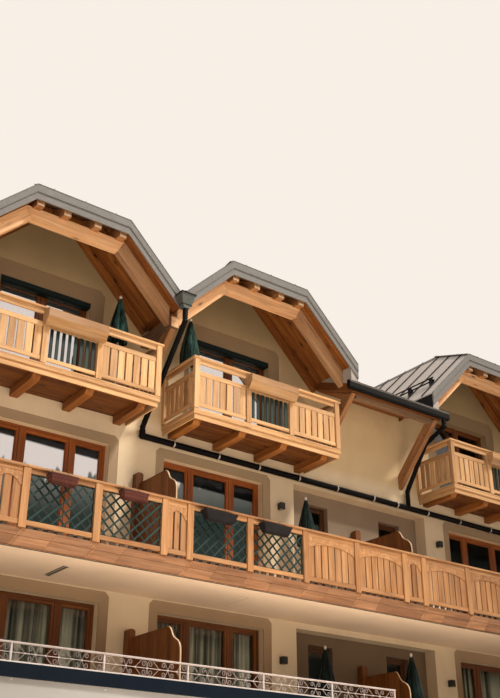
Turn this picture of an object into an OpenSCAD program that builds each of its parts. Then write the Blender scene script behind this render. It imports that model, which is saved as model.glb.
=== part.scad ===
// Alpine chalet: rendered walls, half-hipped cross gables, timber balconies.
// X runs along the front, Y runs from the front wall into the building, Z is up.
// The front wall's outer face is at Y = 0 and the ground is at Z = 0.

/* [Body] */
// Length of the walls along the front
body_len = 21200; // [20800:100:22400]
// Depth from the front wall to the back wall
body_depth = 12000; // [11600:100:12600]
// Thickness of the rendered outer walls
wall_t = 400; // [350:10:450]
// Level of the first floor's deck
first_z = 3153; // [3133:10:3163]
// Level of the second floor's deck
second_z = 6150; // [6140:10:6160]
// Level of the attic floor
attic_z = 9300; // [9280:10:9320]

/* [Roof] */
// Height of the main roof at its eaves
eave_z = 10910; // [10900:10:10930]
// Main roof slope, rise over run
main_slope = 0.404; // [0.39:0.002:0.41]
// Height of the four front gables' ridges
gable_z = 13724; // [13700:4:13740]
// How far the verges and eaves stand out from the walls
overhang = 1323; // [1300:1:1340]
// Main roof overhang past the end walls
end_overhang = 900; // [800:50:1000]
// Thickness of the timber roof deck, measured upright
deck_t = 192; // [180:4:200]
// Thickness of the sheet-metal covering with its battens, measured upright
cover_t = 60; // [50:2:70]

/* [Balconies] */
// Depth of the long second-floor balcony
long_d = 1743; // [1720:1:1760]
// Depth of the attic balconies
attic_d = 1165; // [1150:1:1180]
// Width of the attic balconies
attic_w = 3690; // [3670:10:3710]
// Width of the square railing posts
post_w = 130; // [120:2:136]
// Depth of the terrace in front of the first floor
terrace_d = 2720; // [2700:10:2760]

/* [Windows] */
// Width of the triple windows
win_w = 2430; // [2400:10:2440]
// Height of the window openings above the deck
win_h = 2513; // [2500:1:2520]
// Width of the attic windows
attic_win_w = 1900; // [1880:10:1920]
// How far the frames are set back from the wall face
reveal = 170; // [160:5:190]

/* [Hidden] */
hl = body_len / 2;
g_in = 3558;              // middle of the two inner gables
g_out = 8003;             // middle of the two outer gables
gables = [-g_out, -g_in, g_in, g_out];
valley = (g_in + g_out) / 2;
half_valley = (g_out - g_in) / 2;
edge_w = 2394;            // a gable's outer roof edge from its middle
w_out = 7630;             // middle of the outer triple windows
w_in = 3990;              // middle of the inner triple windows
tri = [-w_out, -w_in, w_in, w_out];
rec = 1963;               // half width of the loggia recess
rec_d = 300;              // depth of the recess behind the wall face
ridge_y = body_depth / 2;
hip_w = 987;              // half width of a gable's level front eave
hip_run = 1890;           // depth of the half hip
t_all = deck_t + cover_t;
g = 0.5;                  // running gap between pieces that only touch
eps = 1;

module box(x0, x1, y0, y1, z0, z1) {
  translate([x0, y0, z0]) cube([x1 - x0, y1 - y0, z1 - z0]);
}
module both() { children(); mirror([1, 0, 0]) children(); }
// a plate in the XZ plane, from y0 to y1
module plate(y0, y1, pts) {
  translate([0, y1, 0]) rotate([90, 0, 0]) linear_extrude(y1 - y0) polygon(pts);
}
// a plate in the YZ plane, from x0 to x1
module side_plate(x0, x1, pts) {
  translate([x0, 0, 0]) rotate([90, 0, 90]) linear_extrude(x1 - x0) polygon(pts);
}

/* ---------- roof volumes ---------- */
main_r = eave_z + main_slope * (ridge_y + overhang);
module main_volume(d, ex, ey) {
  // everything under the main roof surface, lowered by d
  side_plate(-hl - end_overhang - ex, hl + end_overhang + ex,
    [[-overhang - ey, eave_z - main_slope * ey - d], [ridge_y, main_r - d],
     [body_depth + overhang + ey, eave_z - main_slope * ey - d],
     [body_depth + overhang + ey, ex > 0 ? -500 : eave_z - t_all],
     [-overhang - ey, ex > 0 ? -500 : eave_z - t_all]]);
}
module gable_volume(c, d, in, ey) {
  // everything under one cross gable with its half hip, lowered by d
  s = c < 0 ? -1 : 1;
  inner_c = abs(c) < 5000;
  // the outer edge lies towards the loggia on an inner gable
  we = edge_w - in;
  wv = half_valley + (in > 0 ? 400 : 0);
  xl = (inner_c == (c < 0)) ? wv : we;   // extent to the left
  xr = (inner_c == (c < 0)) ? we : wv;   // extent to the right
  zb = in > 0 ? -500 : eave_z - t_all;
  back = (gable_z - eave_z) / main_slope - overhang;
  hip_s = hip_w / hip_run;
  difference() {
    plate(-overhang - ey, back,
      [[c - xl, zb], [c - xl, gable_z - d - xl], [c, gable_z - d], [c + xr, gable_z - d - xr], [c + xr, zb]]);
    side_plate(c - 4000, c + 4000,
      [[-overhang - ey - 100, gable_z - hip_w - d - hip_s * (ey + 100)],
       [-overhang + hip_run, gable_z - d], [-overhang + hip_run, gable_z + 2000],
       [-overhang - ey - 100, gable_z + 2000]]);
  }
}
module roof_volume(d, in) {
  ex = in > 0 ? 300 : 0;
  ey = in > 0 ? 300 : 0;
  main_volume(d, ex, ey);
  for (c = gables) gable_volume(c, d, in, ey);
}

/* ---------- walls ---------- */
module opening(c, w, z0, z1, m, mt, ch) {
  // a window opening through the front wall and its plaster border, 25 mm deep
  box(c - w / 2, c + w / 2, -100, wall_t + 100, z0, z1);
  translate([0, 25, 0]) rotate([90, 0, 0]) linear_extrude(125)
    polygon([[c - w / 2 - m, z0], [c - w / 2 - m, z1 + mt - ch], [c - w / 2 - m + ch, z1 + mt],
      [c + w / 2 + m - ch, z1 + mt], [c + w / 2 + m, z1 + mt - ch], [c + w / 2 + m, z0]]);
}
module front_wall() {
  color([0.86, 0.78, 0.66]) difference() {
    intersection() {
      box(-hl, hl, 0, wall_t, 0, main_r + 500);
      roof_volume(t_all, 190);
    }
    for (c = tri) {
      opening(c, win_w, first_z, first_z + win_h, 190, 5883 - first_z - win_h, 80);
      opening(c, win_w, second_z, second_z + win_h, 190, 187, 85);
    }
    for (c = gables) opening(c, attic_win_w, attic_z, 11490, 303, 355, 110);
    box(-rec, rec, -100, wall_t + 100, first_z, 5782);
    box(-rec, rec, -100, wall_t + 100, second_z, 8813);
  }
}
module recess_wall() {
  // back walls of the loggia on both storeys, standing in the recess, and the lining that joins them
  color([0.80, 0.71, 0.60]) difference() {
    union() {
      box(-rec - 200, rec + 200, wall_t + g, wall_t + 250, first_z - 250, 9050 - g);
      for (z = [[first_z, 5782], [second_z, 8813]])
        box(-rec + g, rec - g, rec_d, wall_t + 2, z[0] + g, z[1] - g);
    }
    for (z = [first_z, second_z]) both()
      box(763, 1417, 0, wall_t + 400, z, z + 2420);
  }
}
module back_wall() {
  color([0.86, 0.78, 0.66]) difference() {
    intersection() {
      box(-hl, hl, body_depth - wall_t, body_depth, 0, main_r + 500);
      main_volume(t_all, 300, 300);
    }
    for (z = [900, first_z + 900, second_z + 900]) for (c = tri)
      box(c - 700, c + 700, body_depth - wall_t - 100, body_depth + 100, z, z + 1400);
  }
}
module end_wall(s) {
  difference() {
    intersection() {
      box(-hl, -hl + wall_t, wall_t, body_depth - wall_t, 0, main_r + 500);
      main_volume(t_all, 300, 300);
    }
    for (z = [900, first_z + 900, second_z + 900]) for (y = [2600, 6000, 9400])
      box(-hl - 100, -hl + wall_t + 100, y - 600, y + 600, z, z + 1400);
    box(-hl - 100, -hl + wall_t + 100, 5400, 6600, attic_z + 900, attic_z + 2300);
  }
}
module left_wall() { color([0.86, 0.78, 0.66]) end_wall(); }
module right_wall() { color([0.86, 0.78, 0.66]) mirror([1, 0, 0]) end_wall(); }
module terrace_wall() {
  // ground-floor front under the terrace, rising as its parapet
  color([0.88, 0.81, 0.70]) difference() {
    box(-hl, hl, -terrace_d + 60, -g, 0, 3985);
    box(-hl + 250, hl - 250, -terrace_d + 310, 100, -10, 4100);
    for (c = tri) box(c - 900, c + 900, -terrace_d, -terrace_d + 400, 900, 2300);
    box(-900, 900, -terrace_d, -terrace_d + 400, 900, 2300);
  }
}
module slab(z0, z1) { box(-hl + wall_t + g, hl - wall_t - g, wall_t + g, body_depth - wall_t - g, z0, z1); }
module recess_hole(z0, z1) { box(-rec - 200 - g, rec + 200 + g, 0, wall_t + 250 + g, z0 - 10, z1 + 10); }
module ground_floor() {
  color([0.6, 0.58, 0.55]) union() {
    slab(0, 150);
    box(-hl + 250 + g, hl - 250 - g, -terrace_d + 310 + g, -g, 0, 150);
  }
}
module first_floor() {
  color([0.62, 0.6, 0.57]) difference() { slab(first_z - 250, first_z); recess_hole(first_z - 250, first_z); }
}
module second_floor() {
  color([0.62, 0.6, 0.57]) difference() { slab(second_z - 250, second_z); recess_hole(second_z - 250, second_z); }
}
module attic_floor() { color([0.62, 0.6, 0.57]) slab(attic_z - 250, attic_z); }
module terrace_deck() {
  color([0.66, 0.63, 0.6]) box(-hl + 250 + g, hl - 250 - g, -terrace_d + 310 + g, -g, first_z - 250, first_z);
}

/* ---------- terrace edge ---------- */
module terrace_band() {
  // dark blue sheet-metal cap along the parapet, returning along both ends
  color([0.10, 0.16, 0.24]) difference() {
    box(-hl - 60, hl + 60, -terrace_d, -g, 3823, 4010);
    box(-hl - g, hl + g, -terrace_d + 60 - g, 10, 3800, 3985 + g);
    box(-hl + 250, hl - 250, -terrace_d + 310, 10, 3800, 4100);
  }
}
sr_z0 = 4010 + g;
sr_z1 = 4288;
sr_y = -terrace_d + 40;
module sr_span(x0, x1) {
  n = max(1, round((x1 - x0) / 1440));
  p = (x1 - x0) / n;
  for (i = [0:n]) box(x0 + i * p - 14, x0 + i * p + 14, sr_y - 14, sr_y + 14, sr_z0, sr_z1 - 20);
  box(x0 - 20, x1 + 20, sr_y - 22, sr_y + 22, sr_z1 - 22, sr_z1);
  box(x0 - 14, x1 + 14, sr_y - 12, sr_y + 12, sr_z0, sr_z0 + 22);
  box(x0, x1, sr_y - 7, sr_y + 7, sr_z0 + 129, sr_z0 + 143);
  for (i = [0:n - 1]) for (k = [0:5]) {
    xa = x0 + i * p + 14 + (p - 28) * k / 6;
    w = (p - 28) / 6;
    translate([xa + w / 2, sr_y, sr_z0 + 136]) for (a = [-1, 1]) rotate([0, a * atan(118 / w) , 0])
      cube([sqrt(w * w + 236 * 236 / 4) , 12, 12], center = true);
  }
}
module scroll_railing() {
  color([0.78, 0.75, 0.72]) both() difference() {
    sr_span(-hl + 30, -rec - 30);
    box(-hl - 100, 0, sr_y - 100, sr_y + 100, 3900, sr_z0);
  }
}

/* ---------- long balcony ---------- */
lb_f0 = 5884;             // fascia's lower edge
lb_f1 = 6171;             // fascia's upper edge
lb_top = 7190;            // top of the handrail
lb_y = -long_d;
post_x = [-10535, -9370, -8774, -7493, -6212, -5698, -4413, -3127, -1844, -571, -31,
          1271, 2552, 3833, 5114, 5640, 6920, 8201, 9482, 10535];
module balcony_slab() {
  color([0.86, 0.76, 0.63]) union() {
    box(-hl, hl, lb_y + 60, -g, 5900, second_z);
    box(-hl, hl, lb_y + 60, lb_y + 110, 5884, 5900 + eps);
  }
}
module balcony_fascia() {
  color([0.72, 0.45, 0.25]) difference() {
    union() {
      box(-hl - 45, hl + 45, lb_y, -g, lb_f0, 6041);
      box(-hl - 40, hl + 40, lb_y + 5, -g, 6041 - eps, lb_f1);
    }
    box(-hl - g, hl + g, lb_y + 60 - g, 10, lb_f0 - 10, lb_f1 + 10);
  }
}
module rail_side() {
  // the short railing run along one end
  x = -10535;
  box(x - 60, x + 60, lb_y + 85 + g, -80, lb_top - 42, lb_top);
  box(x - 30, x + 30, lb_y + 85 + g, -80, lb_top - 130, lb_top - 42 + eps);
  box(x - 30, x + 30, lb_y + 70 + g, -80, 6222, 6302);
  box(x - post_w / 2, x + post_w / 2, -80 - post_w, -80, lb_f1 + g, lb_top - 42 + eps);
}
module balcony_railing() {
  color([0.78, 0.56, 0.34]) union() {
    for (x = post_x) box(x - post_w / 2, x + post_w / 2, lb_y - 20, lb_y + 70, abs(x) > 10000 ? lb_f1 + g : lb_f1 + g, lb_top - 42 + eps);
    box(-10610, 10610, lb_y - 35, lb_y + 85, lb_top - 42, lb_top);
    box(-10535, 10535, lb_y, lb_y + 50, lb_top - 130, lb_top - 42 + eps);
    box(-10535, 10535, lb_y, lb_y + 50, 6222, 6302);
    both() rail_side();
  }
}
// fields between posts: 0 boards, 1 lattice
field_kind = [0, 0, 1, 1, 0, 1, 1, 0, 0, 0, 0, 0, 0, 0, 0, 0, 0, 0, 0];
module arch_board_panel(x0, x1) {
  // upright boards under a rail whose lower edge is arched
  w = x1 - x0;
  n = max(3, round(w / 165));
  p = w / n;
  for (i = [0:n - 1]) box(x0 + i * p + (i == 0 ? g : 9), x0 + (i + 1) * p - (i == n - 1 ? g : 9), lb_y + 12, lb_y + 38, 6302 + g, lb_top - 130 - 190);
  difference() {
    box(x0 + g, x1 - g, lb_y + 10, lb_y + 40, lb_top - 130 - 200, lb_top - 130 - g);
    plate(lb_y, lb_y + 60, [[x0 + 50, 6500], [x0 + 50, lb_top - 318], [x0 + w * 0.2, lb_top - 262], [x0 + w * 0.35, lb_top - 232],
      [x0 + w * 0.5, lb_top - 222], [x0 + w * 0.65, lb_top - 232], [x0 + w * 0.8, lb_top - 262], [x1 - 50, lb_top - 318], [x1 - 50, 6500]]);
    box(x0 + 50, x1 - 50, lb_y, lb_y + 60, 6400, lb_top - 318);
  }
  for (i = [0:n - 1]) box(x0 + i * p + (i == 0 ? g : 9), x0 + (i + 1) * p - (i == n - 1 ? g : 9), lb_y + 12, lb_y + 38, lb_top - 330, lb_top - 215);
}
module balcony_boards() {
  color([0.74, 0.54, 0.33]) union() {
    for (i = [0:len(field_kind) - 1]) if (field_kind[i] == 0)
      arch_board_panel(post_x[i] + post_w / 2, post_x[i + 1] - post_w / 2);
    both() for (k = [0:7]) {
      y0 = lb_y + 75 + k * 185;
      box(-10547, -10523, y0, y0 + 150, 6302 + g, lb_top - 130 - g);
    }
  }
}
module lattice_panel(x0, x1) {
  z0 = 6302 + g; z1 = lb_top - 130 - g;
  w = x1 - x0; h = z1 - z0;
  intersection() {
    box(x0 + g, x1 - g, lb_y + 14, lb_y + 34, z0, z1);
    union() {
      for (a = [-1, 1]) for (k = [-8:8])
        translate([(x0 + x1) / 2 - 15 + k * 193, lb_y + 24, 6637]) rotate([0, a * 45, 0]) cube([3000, 30, 34], center = true);
      box(x0, x0 + 18, lb_y, lb_y + 50, z0, z1);
      box(x1 - 18, x1, lb_y, lb_y + 50, z0, z1);
      box(x0, x1, lb_y, lb_y + 50, z0, z0 + 18);
      box(x0, x1, lb_y, lb_y + 50, z1 - 18, z1);
    }
  }
}
module balcony_lattices() {
  color([0.10, 0.24, 0.20]) for (i = [0:len(field_kind) - 1]) if (field_kind[i] == 1)
    lattice_panel(post_x[i] + post_w / 2, post_x[i + 1] - post_w / 2);
}
module planter(x, z, h, s, t) {
  // a hanging trough outside the handrail, open at the top; h is half its length, s how far its ends slope in, t its height
  y1 = lb_y - 36;
  difference() {
    intersection() {
      side_plate(x - h, x + h, [[y1 - 40, z], [y1 - 170, z], [y1 - 200, z + t], [y1, z + t]]);
      plate(y1 - 300, y1 + 50, [[x - h + s, z], [x + h - s, z], [x + h, z + t], [x - h, z + t]]);
    }
    intersection() {
      side_plate(x - h, x + h, [[y1 - 60, z + 20], [y1 - 152, z + 20], [y1 - 180, z + t + 20], [y1 - 20, z + t + 20]]);
      plate(y1 - 300, y1 + 50, [[x - h + s + 18, z + 10], [x + h - s - 18, z + 10], [x + h - 18, z + t + 20], [x - h + 18, z + t + 20]]);
    }
  }
}
module brown_planters() {
  color([0.38, 0.17, 0.13]) { planter(-8223, 6925, 254, 25, 148); planter(-6915, 6925, 254, 25, 148); }
}
module dark_planters() {
  color([0.09, 0.08, 0.09]) { planter(-5182, 6890, 352, 75, 170); planter(-3940, 6890, 332, 65, 170); }
}

/* ---------- attic balconies ---------- */
ab_f0 = 9100;             // fascia's lower edge
ab_f1 = 9312;             // fascia's upper edge
ab_top = 10400;           // top of the handrail
ab_y = -attic_d;
ab_h = attic_w / 2;
ab_posts = [57 - ab_h, -543, 543, ab_h - 57];
ab_dx = 100;              // the balconies stand a little to the right of the gables' middles
module each_gable() { for (c = gables) translate([c, 0, 0]) children(); }
module each_balcony() { for (c = gables) translate([c + ab_dx, 0, 0]) children(); }
module attic_balcony_decks() {
  color([0.62, 0.36, 0.17]) each_balcony() box(-ab_h + 45, ab_h - 45, ab_y + 60, -g, 9232, 9300);
}
module attic_balcony_fascias() {
  color([0.80, 0.60, 0.37]) each_balcony() difference() {
    union() {
      box(-ab_h + 20, ab_h - 20, ab_y + 30, -g, ab_f0, 9215);
      box(-ab_h, ab_h, ab_y, -g, 9200, ab_f1);
    }
    box(-ab_h + 45 - g, ab_h - 45 + g, ab_y + 60 - g, 10, 9000, 9400);
  }
}
module attic_balcony_brackets() {
  color([0.66, 0.38, 0.17]) each_balcony() for (x = [-1610, -535, 515, 1590])
    side_plate(x - 80, x + 80, [[-g, 9232 - g], [-990, 9232 - g], [-990, 9165], [-930, 9165], [-880, 9090], [-g, 9072]]);
}
module attic_balcony_railings() {
  color([0.80, 0.60, 0.37]) each_balcony() union() {
    for (x = ab_posts) box(x - post_w / 2 + 8, x + post_w / 2 - 8, ab_y - 5, ab_y + 85, ab_f1 + g, ab_top - 40 + eps);
    // handrails
    box(-ab_h - 35, ab_h + 35, ab_y - 20, ab_y + 100, ab_top - 40, ab_top);
    for (s = [-1, 1]) box(s > 0 ? ab_h - 85 : -ab_h - 35, s > 0 ? ab_h + 35 : -ab_h + 85, ab_y + 100 + g, -g, ab_top - 40, ab_top);
    // second rail under the handrail, upper panel rail, lower panel rail
    for (z = [[ab_top - 140, ab_top - 40 + eps], [10010, 10105], [9368, 9440]]) {
      box(-ab_h + 10, ab_h - 10, ab_y + 20, ab_y + 60, z[0], z[1]);
      for (s = [-1, 1]) box(s > 0 ? ab_h - 45 : -ab_h + 5, s > 0 ? ab_h - 5 : -ab_h + 45, ab_y + 100 + g, -g, z[0], z[1]);
    }
    // wall posts
    for (s = [-1, 1]) box(s > 0 ? ab_h - 75 : -ab_h - 15, s > 0 ? ab_h + 15 : -ab_h + 75, -80, -g, ab_f1 + g, ab_top - 40 + eps);
  }
}
module board_run(x0, x1, n, gap) {
  p = (x1 - x0 + gap) / n;
  for (i = [0:n - 1]) box(x0 + i * p, x0 + i * p + p - gap, ab_y + 28, ab_y + 52, 9440 + g, 10010 - g);
}
module attic_balcony_boards() {
  color([0.80, 0.60, 0.37]) each_balcony() union() {
    for (s = [-1, 1]) {
      a = s > 0 ? ab_posts[2] + post_w / 2 : ab_posts[0] + post_w / 2;
      b = s > 0 ? ab_posts[3] - post_w / 2 : ab_posts[1] - post_w / 2;
      board_run(a + 12, b - 12, 7, 30);
      for (k = [0:5]) box(s > 0 ? ab_h - 37 : -ab_h + 13, s > 0 ? ab_h - 13 : -ab_h + 37, ab_y + 120 + k * 155, ab_y + 245 + k * 155, 9440 + g, 10010 - g);
    }
  }
}
module attic_balcony_slats() {
  color([0.05, 0.17, 0.16]) each_balcony() for (k = [0:7]) {
    x = -447 + k * 118;
    box(x, x + 62, ab_y + 28, ab_y + 50, 9440 + g, 10010 - g);
  }
}
module flower_troughs() {
  // bevelled wooden trough in front of the handrail, open at the top
  color([0.74, 0.52, 0.30]) each_balcony() difference() {
    side_plate(-610, 590, [[ab_y - 21, 10015], [ab_y - 90, 10015], [ab_y - 190, 10150], [ab_y - 190, 10300], [ab_y - 21, 10300]]);
    side_plate(-585, 565, [[ab_y - 46, 10045], [ab_y - 85, 10045], [ab_y - 165, 10160], [ab_y - 165, 10350], [ab_y - 46, 10350]]);
  }
}

/* ---------- roof ---------- */
module joint_line(x0, y0, x1, y1) {
  // a thin upright cut between two slopes
  L = norm([x1 - x0, y1 - y0]);
  translate([x0, y0, 10000]) rotate([0, 0, atan2(y1 - y0, x1 - x0)]) translate([0, -g / 2, 0]) cube([L, g, 5000]);
}
function meet_y(a) = (gable_z - a - eave_z) / main_slope - overhang;   // where a gable's slope meets the main slope, a from its middle
module slope_joints() {
  // the ridges, hips and valleys, where the roof's slopes end
  y0 = -overhang - 10;
  y1 = ridge_y;
  joint_line(-hl - 1000, y1, hl + 1000, y1);
  both() {
    joint_line(valley, y0, valley, y1);
    for (c = [g_in, g_out]) {
      e = c == g_in ? -1 : 1;
      hy = hip_run - overhang;
      joint_line(c, hy, c, y1);
      for (s = [-1, 1]) joint_line(c + s * hip_w * (hip_run + 10) / hip_run, y0, c, hy);
      joint_line(c + e * edge_w, y0, c + e * edge_w, y1);
      joint_line(c + e * (edge_w - 190), y0, c + e * (edge_w - 190), meet_y(edge_w - 190));
      joint_line(c + e * edge_w, meet_y(edge_w), c, meet_y(0));
      joint_line(c - e * half_valley, meet_y(half_valley), c, meet_y(0));
    }
  }
}
module roof_covering() {
  color([0.56, 0.53, 0.50]) difference() {
    roof_volume(0, 0);
    roof_volume(cover_t, 190);
    slope_joints();
  }
}
module roof_deck() {
  color([0.66, 0.38, 0.18]) difference() {
    intersection() {
      roof_volume(cover_t, 190);
      box(-hl - end_overhang, hl + end_overhang, -overhang, body_depth + overhang, eave_z - t_all, main_r + 100);
    }
    roof_volume(t_all, 190);
    slope_joints();
  }
}
module verge(y0, y1, a, za, b, zb, end_l, end_r) {
  plate(y0, y1, [[-end_l, za - (end_l - a)], [-a, za], [a, za], [end_r, za - (end_r - a)],
    [end_r, zb - (end_r - b)], [b, zb], [-b, zb], [-end_l, zb - (end_l - b)]]);
}
module verge_fascias() {
  // two tiers of grey sheet metal round each gable's front edge
  color([0.50, 0.48, 0.46]) for (i = [0:3]) translate([gables[i], 0, 0]) {
    l = (i == 0 || i == 2) ? edge_w : half_valley - g;
    r = (i == 0 || i == 2) ? half_valley - g : edge_w;
    verge(-overhang - 40, -overhang - g, hip_w, gable_z - hip_w + 8, 976, 12583, l, r);
    verge(-overhang - 26, -overhang - g, 976, 12583 + eps, 966, 12429, l, r);
  }
}
f_y0 = -1061;
f_y1 = -905;
module gable_frames() {
  // timber frames standing out in front of the gable walls
  color([0.80, 0.58, 0.36]) for (i = [0:3]) translate([gables[i], 0, 0]) {
    l = (i == 0 || i == 2) ? edge_w - 200 - g : half_valley - 91;
    r = (i == 0 || i == 2) ? half_valley - 91 : edge_w - 200 - g;
    k = gable_z - t_all - g;
    plate(f_y0, f_y1, [[-l, k - l], [-(k - 12429), 12429], [k - 12429, 12429], [r, k - r],
      [r, 13073 - r], [910, 12163], [-910, 12163], [-l, 13073 - l]]);
  }
}
function under_hip(y) = gable_z - hip_w + hip_w / hip_run * (y + overhang) - t_all - g;   // the half hip's underside
module wall_rafters() {
  // inclined timbers lying against the gable walls
  color([0.70, 0.44, 0.22]) for (i = [0:3]) translate([gables[i], 0, 0]) {
    k = gable_z - t_all - g;
    l = (i == 0 || i == 2) ? edge_w - 200 - g : half_valley - 91;
    r = (i == 0 || i == 2) ? half_valley - 91 : edge_w - 200 - g;
    intersection() {
      plate(-130, -g, [[-l, k - l], [0, k], [r, k - r], [r, k - r - 190], [0, k - 190], [-l, k - l - 190]]);
      // cut back below the half hip
      plate(-200, 10, [[-3000, 9000], [3000, 9000], [3000, under_hip(-130)], [-3000, under_hip(-130)]]);
    }
  }
}
module rafter_tails() {
  // four rafter ends under each level eave, notched over the frame's beam and hanging lower in front of it
  hs = hip_w / hip_run;
  z0 = gable_z - hip_w - t_all;
  k = gable_z - t_all - g;
  color([0.74, 0.50, 0.28]) each_gable() intersection() {
    for (x = [-850, -300, 345, 895])
      side_plate(x - 78, x + 78, [[-overhang + 70, z0 + hs * 70 - g], [-700, z0 + hs * (overhang - 700) - g],
        [-700, z0 + hs * (overhang - 700) - 130], [f_y1 + g, 12429 + g], [f_y0 - g, 12429 + g], [f_y0 - g, 12388], [-overhang + 70, 12362]]);
    // cut back below the gable's slopes
    plate(-2000, 100, [[-3000, 9000], [3000, 9000], [3000, k - 3000], [0, k], [-3000, k - 3000]]);
  }
}
module eave_purlin(x0, x1) {
  u = eave_z - t_all - g;
  side_plate(x0, x1, [[-1240, 10590], [-1240, u + main_slope * (overhang - 1240)], [-1100, u + main_slope * (overhang - 1100)], [-1100, 10590]]);
}
module valley_beams() {
  color([0.62, 0.44, 0.30]) union() {
    both() box(valley - 90, valley + 90, -1130, -g, 10870, 11110);
    // eave purlins under the main roof
    eave_purlin(-1158, 1158);
    both() eave_purlin(-hl - end_overhang + 60, -g_out - edge_w - 6);
  }
}
module brace(x, ztop, zlow, w) {
  // from the wall, where it is 340 tall, up to the beam or deck that it carries
  k = 1.032;
  side_plate(x - w / 2, x + w / 2, [[-g, zlow], [-g, zlow + 340], [-(ztop - zlow - 340) / k, ztop - g], [-(ztop - zlow) / k, ztop - g]]);
}
module knee_braces() {
  color([0.70, 0.46, 0.24]) union() {
    both() brace(valley, 10870, 9760, 120);
    for (x = [-g_out - edge_w + 97, -g_in + edge_w - 97, g_in - edge_w + 97, g_out + edge_w - 97]) brace(x, eave_z - t_all, 9339, 120);
  }
}

/* ---------- drainage ---------- */
gut_y = -1463;
module gutter_run(x0, x1) {
  // box-bottomed gutter with a ribbed front lip
  difference() {
    side_plate(x0, x1, [[-overhang - 41, 10670], [-overhang - 41, 10860], [gut_y + 12, 10860], [gut_y, 10800], [gut_y, 10700], [gut_y + 35, 10670]]);
    side_plate(x0 + 4, x1 - 4, [[-overhang - 47, 10678], [-overhang - 47, 10900], [gut_y + 18, 10900], [gut_y + 8, 10800], [gut_y + 8, 10704], [gut_y + 38, 10678]]);
  }
}
module gutters() {
  color([0.17, 0.17, 0.18]) union() {
    gutter_run(-1530, 1530);
    both() gutter_run(-hl - end_overhang, -g_out - edge_w + 350);
    // back eaves
    translate([0, body_depth, 0]) mirror([0, 1, 0]) gutter_run(-hl - end_overhang, hl + end_overhang);
  }
}
module frustum(x, y, z0, z1, a0, a1, b0, b1) {
  // square funnel from two crossed tapering plates
  intersection() {
    plate(y - b1, y + b1, [[x - a0, z0], [x + a0, z0], [x + a1, z1], [x - a1, z1]]);
    side_plate(x - a1, x + a1, [[y - b0, z0], [y + b0, z0], [y + b1, z1], [y - b1, z1]]);
  }
}
hop_y = -1487;
module rain_hoppers() {
  color([0.27, 0.28, 0.29]) both() difference() {
    union() {
      frustum(-valley, hop_y, 11195, 11418, 100, 158, 64, 118);
      box(-valley - 166, -valley + 166, hop_y - 126, hop_y + 120, 11410, 11432);
      frustum(-valley, hop_y, 11120, 11196, 58, 100, 58, 64);
    }
    frustum(-valley, hop_y, 11210, 11450, 92, 156, 56, 116);
  }
}
module pipe_yz(x, pts, r, ball = 5) {
  // round pipe through a list of points, with a wider ball at each bend
  translate([x, 0, 0]) for (i = [0:len(pts) - 2]) {
    a = pts[i]; b = pts[i + 1];
    d = b - a; L = norm(d);
    translate(a) rotate([0, acos(d[2] / L), atan2(d[1], d[0])]) cylinder(r = r, h = L, $fn = 24);
    if (i > 0) translate(a) sphere(r = r + ball, $fn = 24);
  }
}
pz = 8945;                // middle of the long pipe at its high end
fall = 22 / 3500;
gp_x = 1385;              // the pipe from the middle gutter's outlet
function pipe_z(x) = pz - (x + valley) * fall;
module downpipes() {
  color([0.13, 0.13, 0.14]) union() {
    for (s = [-1, 1]) pipe_yz(s * valley, [[0, hop_y, 11120 - g], [0, hop_y, 10850], [0, -165, 9220], [0, -95, 9126], [0, -95, pipe_z(s * valley) + 120]], 52);
    pipe_yz(gp_x, [[0, -1400, 10669], [0, -1400, 10500], [0, -780, 10260], [0, -165, 9400], [0, -95, 9290], [0, -95, pipe_z(gp_x) + 66]], 52);
  }
}
module collector_pipes() {
  // one long pipe along the wall with a short branch up to each hopper's pipe
  color([0.09, 0.09, 0.10]) pipe_yz(0, [[-valley, -95, pipe_z(-valley) + 120 - g], [-valley, -95, pz], [valley, -95, pipe_z(valley)], [valley, -95, pipe_z(valley) + 120 - g]], 62);
}
module pipe_clamps() {
  color([0.72, 0.70, 0.66]) for (x = [-5069, -3995, -2971, -1899, -820, 260, 1000, 1979, 3060, 4140, 5200]) difference() {
    translate([x - 14, -95, pipe_z(x)]) rotate([0, 90, 0]) cylinder(r = 76, h = 28, $fn = 24);
    translate([x - 40, -95, pipe_z(x)]) rotate([0, 90, 0]) cylinder(r = 64.5, h = 90, $fn = 24);
  }
}
module snow_guards() {
  color([0.20, 0.20, 0.21]) for (q = [[-g_out, -1], [-g_in, 1], [g_in, -1], [g_out, 1]]) translate([q[0], 0, 0]) {
    x = q[1] * 1900;
    z = gable_z - 1900;
    for (k = [0, 1]) translate([x + q[1] * k * 40, -990, z + 90 + k * 60]) rotate([-90, 0, 0]) cylinder(r = 17, h = 1320, $fn = 12);
    for (y = [-930, -220])
      plate(y, y + 30, [[x - q[1] * 60, z + 60 + g], [x + q[1] * 100, z - 100 + g], [x + q[1] * 100, z + 120], [x + q[1] * 20, z + 180], [x - q[1] * 60, z + 110]]);
  }
}

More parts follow.
